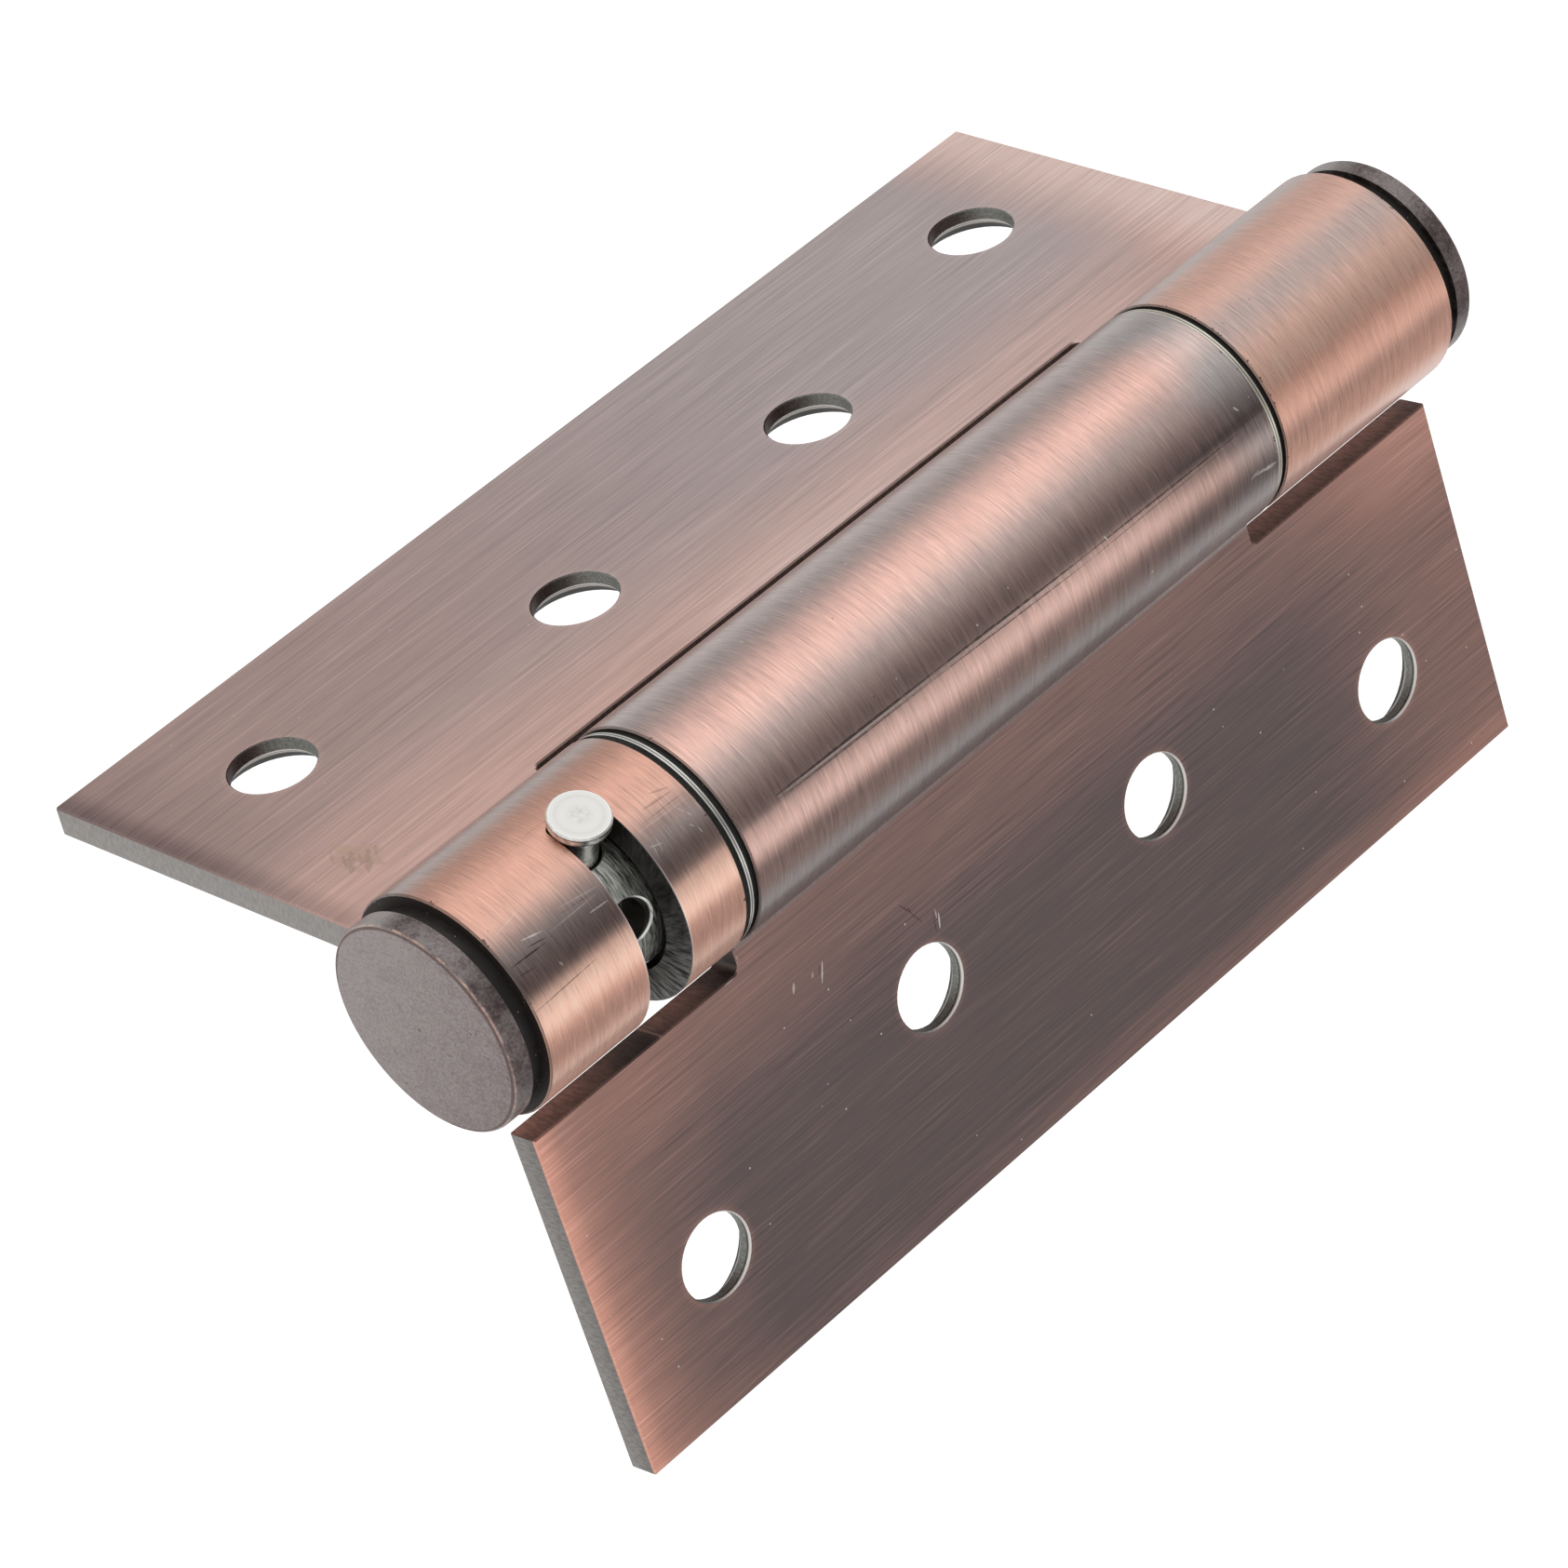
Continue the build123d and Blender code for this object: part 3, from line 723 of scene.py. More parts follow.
door_leaf_marks = (
    (14.6, 24.5, 15.4, 24.8, 0.16, 0.55), (14.8, 21.5, 16.3, 22.1, 0.09, 0.95),
    (14.9, 21.8, 15.5, 22.1, 0.12, -0.5), (15.0, 22.6, 15.4, 22.8, 0.1, 0.5),
    (15.4, 13.3, 16.3, 12.7, 0.12, -0.6), (16.0, 12.7, 17.2, 12.3, 0.12, -0.6),
    (16.9, 12.3, 17.9, 11.8, 0.1, -0.5), (17.7, 10.3, 18.5, 10.4, 0.07, 0.6),
    (18.2, 10.1, 19.4, 10.4, 0.1, 0.8), (17.7, 10.6, 19.5, 10.8, 0.1, -0.6),
    (9.6, 28.5, 10.75, 28.85, 0.12, 0.9), (10.75, 28.85, 10.88, 30.3, 0.12, 0.85),
)
print(len(top_knuckle_marks) + len(barrel_marks), "marks round the knuckles")

# %% [markdown]
# A mark is mixed over the colour that is already there. On a knuckle the angles are turned into
# lengths first, so that a mark's width is the same in both directions. The barrel's own angles run
# the other way round from the frame leaf's, and its marks were noted from the frame leaf, so they
# are turned over.

# %% Draw marks over a colour
mark_light = colour(0.80, 0.74, 0.70)
mark_dark = colour(0.06, 0.045, 0.042)
stain_tan = colour(0.62, 0.43, 0.31)
degree_arc = math.radians(knuckle_mm)
barrel_offset = 85  # the barrel's own angle is this less the frame leaf's


def draw_marks(tree, surface, point, marks, allowed, light=mark_light):
    """Mixes each mark over the surface, where it is allowed."""
    for x, y, to_x, to_y, width, strength in marks:
        ends = {"From": (x, y, 0), "To": (to_x, to_y, 0)}
        mask = place(tree, scratch, Place=point, Width=width, **ends)["Mask"]
        share = times(tree, mask, allowed, abs(strength))
        surface = mix(tree, share, surface, light if strength > 0 else mark_dark)
    return surface


def round_knuckle(marks, mirrored):
    """Turns the angles of the marks into lengths round the knuckle."""
    flat = []
    for start, low, end, high, width, strength in marks:
        if mirrored:
            start, end = barrel_offset - start, barrel_offset - end
        flat.append((start * degree_arc, low, end * degree_arc, high, width, strength))
    return flat


print(f"one degree is {degree_arc:.3f} mm round a knuckle")

# %% [markdown]
# Some faces were cut after the sheet was rolled, and never brushed: the satin ends and outer edge of a
# leaf, the sheared edge of the notch, the walls of the screw holes, the bore of a knuckle and the rims
# at its ends and at the slot. Each gets a mask, from the place of a point and the way its face looks.

# %% Masks of the cut faces
slot_half_width = 2.2
leaf_end = 49.5


def cut_faces(tree, where, hole):
    """Masks of the faces that were cut and never brushed."""
    facing = maths(tree, "ABSOLUTE", where["Facing"])
    flat_part = without(tree, where["Knuckle"])
    in_hole = times(tree, fade(tree, hole, 5.3, 5.0), fade(tree, facing, 0.93, 0.8), flat_part)
    up = fade(tree, where["Facing up"], 0.55, 0.8)
    free = times(tree, flat_part, without(tree, in_hole))
    at_end = fade(tree, maths(tree, "ABSOLUTE", where["Height"]), leaf_end - 0.5, leaf_end)
    across = times(tree, up, free, fade(tree, facing, 0.75, 0.45))
    return {
        "ends": times(tree, across, at_end),
        "notch": times(tree, fade(tree, where["Facing along"], -0.5, -0.8), free),
        "notch corner": times(tree, across, without(tree, at_end)),
        "outward": times(tree, fade(tree, where["Facing along"], 0.5, 0.8), free),
        "rims": times(tree, up, where["Knuckle"]),
        "bore": times(
            tree, fade(tree, where["Distance"], knuckle_mm - 0.25, knuckle_mm - 0.65), where["Knuckle"]),
        "in hole": in_hole,
    }


# %% [markdown]
# The sheared edge in the notch is brown where the shear cut, and nearly black where the sheet broke
# off. It changes along the edge, and there is a step where two strokes of the shear met.

# %% Colours of the cut faces
step_height = 36.9
sheared_levels = (
    (-50, 0.9), (-30, 0.75), (-29, 0.6), (28.6, 0.3), (30, 0.25), (33, 0.5),
    (step_height - 0.2, 0.5), (step_height + 0.2, 0.03), (40, 0.14), (44, 0.6), (50, 0.95),
)


def sheared_surface(tree, where, colours):
    """The sheared edge, browner where the levels are high."""
    brown = by_height(tree, where["Height"], sheared_levels)
    base = mix(tree, brown, colours["sheared dark"], colours["sheared light"])
    across = vector_maths(tree, "MULTIPLY", where["Place"], (1.0, 0.5, 2.0))
    texture = fade(tree, noise(tree, across, 2.2, 3.0, 0.65), 0.3, 0.7, 0.7, 1.3)
    thickness = fade(tree, where["Off plane"], 1.0, 3.4, 1.45, 0.75)
    base = mix(tree, 1.0, base, maths(tree, "MULTIPLY", texture, thickness), "MULTIPLY")
    away = apart(tree, where["Height"], step_height)
    return mix(tree, fade(tree, away, 0.14, 0.04, 0.0, 0.45), base, colour(0.5, 0.36, 0.3))


def satin_surface(tree, where, colours):
    """The sawn ends and the outer edge: fine lines, a little darker towards one face."""
    stretched = vector_maths(tree, "MULTIPLY", where["Place"], (1.0, 0.3, 1.0))
    lines = noise(tree, stretched, 5.0, 3.0, 0.65)
    base = mix(tree, fade(tree, lines, 0.3, 0.7), colours["satin dark"], colours["satin light"])
    thickness = fade(tree, where["Off plane"], 1.2, 3.3, 1.0, colours["satin front"])
    return mix(tree, 1.0, base, thickness, "MULTIPLY")


def hole_surface(tree, where, side, colours):
    """The wall of a screw hole: a straight land behind the rim, and then the countersink, with a painted
    highlight line and a painted dark line under it.
    """
    depth = where["Off plane"]
    grey = fade(tree, side, -2.5, 3.5)
    texture = fade(tree, noise(tree, where["Place"], 5.0, 3.0, 0.6), 0.3, 0.7, 0.75, 1.25)
    land = mix(tree, grey, colours["wall brown"], colours["wall grey"])
    land = mix(tree, 1.0, land, texture, "MULTIPLY")
    cone = mix(tree, fade(tree, depth, 1.75, 2.15), colours["cone dark"], colours["cone light"])
    wall = mix(tree, fade(tree, depth, 2.38, 2.46), cone, land)
    # Painted highlight: a thin near-white line round the wall, stronger towards the hole's lower side.
    highlight_strength, highlight_depth = colours["line"]
    away = apart(tree, depth, highlight_depth)
    width = colours["highlight line width"]
    line = fade(tree, away, width, 0.4 * width, 0.0, highlight_strength)
    line = times(tree, line, fade(tree, side, -3.4, -1.0, 0.25, 1.0))
    wall = mix(tree, line, wall, colour(0.92, 0.86, 0.83))
    # Painted shade: a thin near-black line just under the highlight.
    under = apart(tree, depth, highlight_depth - 1.7 * width)
    return mix(tree, fade(tree, under, 0.09, 0.04, 0.0, 0.7), wall, colour(0.03, 0.027, 0.025))


# %% [markdown]
# The edges of a knuckle tell how the hinge was handled. They are rubbed bright, with dark nicks where they
# were knocked, and the slot's outer edges were deburred and carry a painted highlight on one side. The
# walls of the slot were torn by the cutter, which left lines that fan out from the pin axis. Over most
# angles they are painted dark as shade. The end faces are dark oxide, painted near black as shade.

# %% Edges and rims of a knuckle
def worn_edges(tree, where, surface, outside, edges):
    """The sharp edges of a knuckle are rubbed bright, with dark nicks here and there."""
    away = 1.0
    for height in edges:
        away = maths(tree, "MINIMUM", away, apart(tree, where["Height"], height))
    spots = noise(tree, where["Place"], 1.6, 3.0, 0.65)
    bright = times(tree, fade(tree, away, 0.16, 0.05), fade(tree, spots, 0.4, 0.6, 0.1, 0.5), outside)
    surface = mix(tree, bright, surface, colour(0.95, 0.74, 0.66))
    reach = fade(tree, spots, 0.56, 0.72, 0.0, 0.3)
    nick = times(tree, fade(tree, maths(tree, "SUBTRACT", away, reach), 0.04, -0.04), outside)
    nick = times(tree, nick, fade(tree, spots, 0.56, 0.6, 0.0, 0.8))
    return mix(tree, nick, surface, colour(0.045, 0.035, 0.03))


def deburred_slot_edge_highlights(tree, where, surface, outside):
    """The slot's outer edges were deburred. A painted highlight runs along them as thin bright lines, over
    one range of angles only.
    """
    away = apart(tree, apart(tree, where["Height"], slot_mm), slot_half_width)
    # Painted highlight, only between about 62 and 168 degrees round the pin axis.
    line = times(
        tree, fade(tree, away, 0.15, 0.05), outside,
        by_degrees(tree, where["Turn"], ((46, 0.0), (62, 0.6), (168, 0.6), (171, 0.0))),
    )
    return mix(tree, line, surface, colour(0.98, 0.85, 0.8))


round_length = 57.5  # round a knuckle, in millimetres


def rim_surface(tree, where, seed, colours):
    """The end faces of a knuckle, dark oxide painted near black as shade, and the walls of the slot with
    their torn, fanned lines, painted dark as shade except on one side.
    """
    round_and_out = node(tree, "ShaderNodeCombineXYZ", {
        0: maths(tree, "MULTIPLY_ADD", where["Turn"], round_length,
                 maths(tree, "MULTIPLY", where["Distance"], 0.5)),
        1: maths(tree, "MULTIPLY", where["Distance"], 0.25),
    }).outputs[0]
    torn = fade(tree, noise(tree, round_and_out, 2.6, 4.0, 0.65), 0.34, 0.66, 0.15, 1.9)
    # Painted shade: the slot's walls are near black over most angles round the pin axis, and turn grey
    # only from about 90 degrees on.
    grey = by_degrees(tree, where["Turn"], ((-60, 0.0), (70, 0.05), (88, 0.22), (104, 0.5), (125, 0.9)))
    wall = mix(tree, grey, colours["slot painted shade"], colours["slot grey"])
    wall = mix(tree, 1.0, wall, torn, "MULTIPLY")
    # The deburred outer edge of the wall, painted lighter as a highlight.
    edge = fade(tree, where["Distance"], knuckle_mm - 0.17, knuckle_mm - 0.07, 0.0, 0.65)
    wall = mix(tree, edge, wall, colours["deburred slot rim highlight"])
    dust = place(tree, specks, Place=where["Place"], Spacing=0.5, Size=0.07, Share=0.4, Seed=seed)
    # The end faces: dark oxide, painted near black as shade, with dust specks.
    end = mix(tree, dust["Mask"], colours["rim"], colour(0.34, 0.25, 0.18))
    from_slot = apart(tree, where["Height"], slot_mm)
    in_slot = fade(tree, from_slot, slot_half_width + 0.4, slot_half_width + 0.2)
    return mix(tree, in_slot, end, wall)


print("cut faces ready")

# %% [markdown]
# Now the pieces come together. First comes the brushed plate, with its grain along the leaf on the
# flat faces and round the pin axis on a knuckle. Dust and pits lie on it, then the marks and the worn
# edges, and the cut faces cover the rest.

# %% Lay the brushed plate
leaf_stretch = (1.3, 1.3, 0.022)
knuckle_stretch = (0.085, 0.085, 2.0)
knuckle_contrast = 0.105


def brushed_surface(tree, where, hole, seed, leaf_shares, knuckle_shares, colours):
    """The colour of the brushed plate, and the grain in it."""
    knuckle, point = where["Knuckle"], where["Place"]
    leaf_grain = place(tree, brushed_grain, Place=point, Stretch=leaf_stretch, Seed=seed)
    knuckle_grain = place(tree, brushed_grain, Place=point, Stretch=knuckle_stretch, Seed=seed + 1)
    grain = {
        label: blend_values(tree, knuckle, leaf_grain[label], knuckle_grain[label])
        for label in ("Fine", "Lines", "Broad", "Height")
    }
    rim = fade(tree, hole["Distance"], hole_radius + 0.7, hole_radius + 0.1)
    leaf_grey, leaf_dark, leaf_polished = leaf_shares(tree, where, rim)
    knuckle_grey, knuckle_dark, knuckle_polished = knuckle_shares(tree, where)
    given = {label: grain[label] for label in ("Fine", "Lines", "Broad")}
    leaf_plate = place(
        tree, antique_plating, Copper=colours["copper"], Grey=colours["grey"],
        Patina=colours["patina"], Polished=colours["polished"], Grey_share=leaf_grey,
        Patina_share=leaf_dark, Polished_share=leaf_polished,
        Contrast=colours["leaf contrast"], **given,
    )["Color"]
    knuckle_plate = place(
        tree, antique_plating, Copper=colours["knuckle copper"], Grey=colours["knuckle grey"],
        Patina=colours["knuckle patina"], Polished=colours["knuckle polished"],
        Grey_share=knuckle_grey, Patina_share=knuckle_dark, Polished_share=knuckle_polished,
        Contrast=knuckle_contrast, **given,
    )["Color"]
    return mix(tree, knuckle, leaf_plate, knuckle_plate), grain


def dusty(tree, where, surface, seed):
    """Light dust and dark pits over a surface."""
    for spacing, size, strength, tint, offset in (
        (1.6, 0.11, 0.7, colour(0.85, 0.83, 0.8), 3), (1.4, 0.09, 0.55, colour(0.07, 0.05, 0.045), 4),
    ):
        spots = place(
            tree, specks, Place=where["Place"], Spacing=spacing, Size=size, Share=0.35,
            Seed=seed + offset,
        )["Mask"]
        surface = mix(tree, times(tree, spots, strength), surface, tint)
    return surface


print("the plate can be laid")

# %% Lay the marks and the cut faces
def marked_surface(tree, where, surface, cut, marks, colours):
    """The marks of use and the worn edges. Also gives the mask of a knuckle's outside."""
    knuckle = where["Knuckle"]
    round_point = node(tree, "ShaderNodeCombineXYZ", {
        0: maths(tree, "MULTIPLY_ADD", where["Turn"], 360 * degree_arc, -180 * degree_arc),
        1: where["Height"],
    }).outputs[0]
    leaf_point = node(
        tree, "ShaderNodeCombineXYZ", {0: where["Along leaf"], 1: where["Height"]}).outputs[0]
    outside = times(tree, knuckle, without(tree, cut["rims"]), without(tree, cut["bore"]))
    outer_face = times(tree, without(tree, knuckle), fade(tree, where["Facing"], 0.8, 0.95))
    surface = draw_marks(tree, surface, round_point, marks["knuckle"], outside)
    surface = draw_marks(tree, surface, leaf_point, marks["stains"], outer_face, stain_tan)
    surface = draw_marks(tree, surface, leaf_point, marks["leaf"], outer_face)
    surface = worn_edges(tree, where, surface, outside, colours["edges"])
    return deburred_slot_edge_highlights(tree, where, surface, outside), outside


def cut_surface(tree, where, hole, surface, cut, seed, colours):
    """Covers the faces that were cut."""
    satin = satin_surface(tree, where, colours)
    surface = mix(tree, cut["ends"], surface, satin)
    surface = mix(tree, cut["outward"], surface, satin)
    surface = mix(tree, cut["notch"], surface, sheared_surface(tree, where, colours))
    surface = mix(tree, cut["notch corner"], surface, colours["notch corner"])
    surface = mix(tree, cut["in hole"], surface, hole_surface(tree, where, hole["Side"], colours))
    surface = mix(tree, cut["bore"], surface, colours["bore"])
    return mix(tree, cut["rims"], surface, rim_surface(tree, where, seed, colours))


print("the marks and cut faces can be laid")

# %% [markdown]
# The highlight of brushed metal is drawn out across the lines, so the shader's tangent runs across
# the brushing: up the pin axis on a knuckle, and across the leaf on a flat face. Sheared and torn
# faces are less metallic, and so is one side of each knuckle, which the belt left satin. A small bump
# follows the grain, and a rougher one the cut faces.

# %% Leaf materials
def make_leaf_material(name, direction, normal, seed, leaf_shares, knuckle_shares, marks, colours):
    """One sheet's material, from its own shares, marks and colours."""
    material, tree, shader = new_material(name)
    where = on_hinge(tree, direction, normal)
    hole = place(tree, nearest_hole, Along_leaf=where["Along leaf"], Height=where["Height"])
    surface, grain = brushed_surface(tree, where, hole, seed, leaf_shares, knuckle_shares, colours)
    surface = dusty(tree, where, surface, seed)
    cut = cut_faces(tree, where, hole["Distance"])
    surface, outside = marked_surface(tree, where, surface, cut, marks, colours)
    surface = cut_surface(tree, where, hole, surface, cut, seed, colours)
    tree.links.new(surface, shader.inputs["Base Color"])

    matt = total(tree, cut["notch"], cut["rims"], cut["notch corner"], times(tree, cut["bore"], 0.8))
    satin_side = times(tree, by_degrees(tree, where["Turn"], colours["satin side"]), outside)
    metallic = maths(tree, "SUBTRACT", maths(tree, "MULTIPLY_ADD", matt, -0.45, 1.0), satin_side)
    tree.links.new(metallic, shader.inputs["Metallic"])
    brushed = maths(tree, "MULTIPLY_ADD", grain["Fine"], 0.03, 0.36)
    brushed = maths(tree, "MULTIPLY_ADD", where["Knuckle"], -0.06, brushed)
    cut_any = total(tree, *cut.values())
    tree.links.new(blend_values(tree, cut_any, brushed, 0.5), shader.inputs["Roughness"])
    shader.inputs["Anisotropic"].default_value = 0.6
    tree.links.new(across_brushing(tree, where["Knuckle"]), shader.inputs["Tangent"])
    cut_height = noise(tree, where["Place"], 3.5, 3.0, 0.6)
    height = blend_values(tree, cut_any, times(tree, grain["Height"], 0.6), cut_height)
    bump = node(tree, "ShaderNodeBump", {"Height": height, "Strength": 0.5, "Distance": 0.015 * MM})
    tree.links.new(bump.outputs["Normal"], shader.inputs["Normal"])
    return material


frame_colours = {
    "copper": colour(0.90, 0.565, 0.48),
    "grey": colour(0.62, 0.53, 0.52),
    "patina": colour(0.18, 0.125, 0.12),
    "leaf contrast": 0.07,
    "knuckle copper": colour(0.93, 0.515, 0.395),
    "polished": colour(1.0, 0.75, 0.68),
    "knuckle polished": colour(1.0, 0.63, 0.50),
    "knuckle grey": colour(0.60, 0.54, 0.52),
    "knuckle patina": colour(0.14, 0.105, 0.10),
    "sheared dark": colour(0.04, 0.033, 0.03),
    "sheared light": colour(0.26, 0.155, 0.13),
    "notch corner": colour(0.11, 0.10, 0.095),
    "satin dark": colour(0.36, 0.335, 0.32),
    "satin light": colour(0.47, 0.445, 0.425),
    "satin front": 0.97,
    "wall brown": colour(0.075, 0.05, 0.047),
    "wall grey": colour(0.26, 0.26, 0.24),
    "cone light": colour(0.60, 0.57, 0.53),
    "cone dark": colour(0.05, 0.045, 0.042),
    # Strength and depth of the painted highlight line in the screw holes.
    "line": (0.8, 2.42),
    "highlight line width": 0.1,
    "edges": (50.0, 30.05, -30.05, -50.0),
    "satin side": ((112, 0.0), (122, 0.36), (150, 0.36), (175, 0.0)),
    "bore": colour(0.06, 0.05, 0.045),
    # The knuckles' end faces: dark oxide, painted near black as shade.
    "rim": colour(0.028, 0.021, 0.018),
    "slot painted shade": colour(0.02, 0.016, 0.0155),
    "slot grey": colour(0.21, 0.21, 0.2),
    "deburred slot rim highlight": colour(0.34, 0.32, 0.31),
}
door_colours = dict(
    frame_colours,
    **{
        "copper": colour(0.86, 0.43, 0.33),
        "patina": colour(0.165, 0.127, 0.125),
        "leaf contrast": 0.1,
        "knuckle copper": colour(0.88, 0.53, 0.45),
        "knuckle polished": colour(0.98, 0.61, 0.51),
        "knuckle grey": colour(0.60, 0.55, 0.535),
        "satin dark": colour(0.28, 0.265, 0.25),
        "satin light": colour(0.42, 0.40, 0.38),
        "satin front": 0.78,
        "wall brown": colour(0.13, 0.115, 0.105),
        "wall grey": colour(0.30, 0.305, 0.28),
        # Strength and depth of the painted highlight line in the screw holes.
        "line": (0.95, 3.4),
        "highlight line width": 0.14,
        "edges": (28.65, -29.12),
        "satin side": ((-175, 0.0), (-150, 0.25), (-38, 0.25), (-28, 0.0)),
    },
)
frame_leaf_finish = make_leaf_material(
    "antique_copper_frame_leaf", frame_direction, frame_normal, 1.0,
    frame_leaf_shares, frame_knuckle_shares,
    {"knuckle": round_knuckle(top_knuckle_marks, False), "leaf": frame_leaf_marks,
     "stains": frame_leaf_stains}, frame_colours,
)
door_leaf_finish = make_leaf_material(
    "antique_copper_door_leaf", door_direction, door_normal, 5.0,
    door_leaf_shares, barrel_shares,
    {"knuckle": round_knuckle(barrel_marks, True), "leaf": door_leaf_marks, "stains": ()},
    door_colours,
)
print("made", frame_leaf_finish.name, "and", door_leaf_finish.name)

# %% [markdown]
# ## The end caps
#
# A cap was blackened after plating and only wiped, so its face is a grey mauve with small brown pits.
# Its side is a darker plum that changes round the cap, and its edge is rubbed down to bright copper.
# The shoulder under the disc is blackened, and is painted near black as shade, with dust on it.

# %% Cap material
cap_side_levels = (
    (-150, 0.5), (-50, 0.8), (-20, 1.0), (-10, 0.65), (0, 0.18), (15, 0.36), (30, 0.38), (45, 0.26),
    (60, 0.1), (75, 0.22), (90, 0.06), (105, 0.22), (115, 0.5), (140, 0.6), (160, 0.5),
)
disc_bottom = 51.25
rounded_edge = 52.5


def make_cap_material():
    material, tree, shader = new_material("antique_copper_cap")
    where = on_hinge(tree)
    spot = where["Place"]
    up = where["Facing up"]
    end = maths(tree, "ABSOLUTE", where["Height"])
    across = vector_maths(tree, "DOT_PRODUCT", spot, (-0.87, -0.5, 0.0), "Value")
    mottle = fade(tree, noise(tree, spot, 0.8, 5.0, 0.65), 0.32, 0.68, -0.26, 0.26)
    sand = fade(tree, noise(tree, spot, 4.5, 3.0, 0.7), 0.3, 0.7, -0.32, 0.32)
    tone = total(tree, maths(tree, "MULTIPLY_ADD", across, -0.034, 0.62), mottle, sand)
    face = mix(tree, tone, colour(0.235, 0.19, 0.188), colour(0.43, 0.38, 0.37))
    crowd = times(
        tree, fade(tree, across, -5.0, 2.0, 0.35, 1.0), fade(tree, noise(tree, spot, 0.5), 0.35, 0.6))
    for spacing, size, strength, seed in ((0.55, 0.11, 0.6, 11.0), (1.2, 0.18, 0.6, 12.0)):
        pits = place(tree, specks, Place=spot, Spacing=spacing, Size=size, Share=0.9, Seed=seed)
        face = mix(tree, times(tree, pits["Mask"], crowd, strength), face, colour(0.11, 0.065, 0.055))
    level = by_degrees(tree, where["Turn"], cap_side_levels)
    rough_level = total(tree, level, times(tree, mottle, 0.7), times(tree, sand, 0.5))
    side = mix(tree, rough_level, colour(0.125, 0.088, 0.09), colour(0.46, 0.425, 0.41))
    rust = place(tree, specks, Place=spot, Spacing=0.5, Size=0.08, Share=0.25, Seed=13.0)["Mask"]
    side = mix(tree, times(tree, rust, 0.5), side, colour(0.42, 0.24, 0.16))
    behind = fade(tree, end, disc_bottom + 0.05, disc_bottom)
    surface = mix(tree, times(tree, fade(tree, up, 0.55, 0.85), without(tree, behind)), side, face)
    on_edge = fade(tree, end, rounded_edge, rounded_edge + 0.1)
    brown = times(tree, fade(tree, up, 0.995, 0.95), fade(tree, up, 0.72, 0.8), on_edge, 0.7)
    surface = mix(tree, brown, surface, colour(0.13, 0.075, 0.065))
    patchy = fade(tree, noise(tree, spot, 1.1, 3.0, 0.6), 0.38, 0.62, 0.05, 0.8)
    patchy = times(tree, patchy, fade(tree, across, 2.0, 8.0, 1.0, 0.6))
    bright = times(tree, fade(tree, up, 0.76, 0.7), fade(tree, up, 0.42, 0.5), on_edge, patchy)
    surface = mix(tree, bright, surface, colour(0.70, 0.47, 0.39))
    # Painted shade: the shoulder in the groove under the disc is made near black, with light dust specks.
    shoulder_painted_shade = times(tree, behind, fade(tree, up, 0.7, 0.5))
    dust = place(tree, specks, Place=spot, Spacing=0.45, Size=0.07, Share=0.4, Seed=14.0)["Mask"]
    shade_black_with_dust = mix(tree, dust, colour(0.018, 0.015, 0.014), colour(0.3, 0.22, 0.16))
    surface = mix(tree, shoulder_painted_shade, surface, shade_black_with_dust)
    tree.links.new(surface, shader.inputs["Base Color"])
    tree.links.new(maths(tree, "MULTIPLY_ADD", shoulder_painted_shade, -0.6, 1.0), shader.inputs["Metallic"])
    worn = blend_values(tree, bright, maths(tree, "MULTIPLY_ADD", mottle, 0.5, 0.46), 0.3)
    tree.links.new(worn, shader.inputs["Roughness"])
    rough = noise(tree, spot, 4.0, 4.0, 0.65)
    bump = node(tree, "ShaderNodeBump", {"Height": rough, "Strength": 0.6, "Distance": 0.02 * MM})
    tree.links.new(bump.outputs["Normal"], shader.inputs["Normal"])
    return material


cap_plate = make_cap_material()
print("made", cap_plate.name)

# %% [markdown]
# ## Turned steel
#
# The spindle and the plug were turned on a lathe, which leaves rings of fine lines round the pin axis. The
# small holes in the spindle are painted black inside as shade. Their chamfers get a painted highlight at
# the outer edge, with painted shade below it.

# %% Turned steel material
journal_radius = 6.12
hole_zone = 1.9  # above and below the middle of the spindle's holes


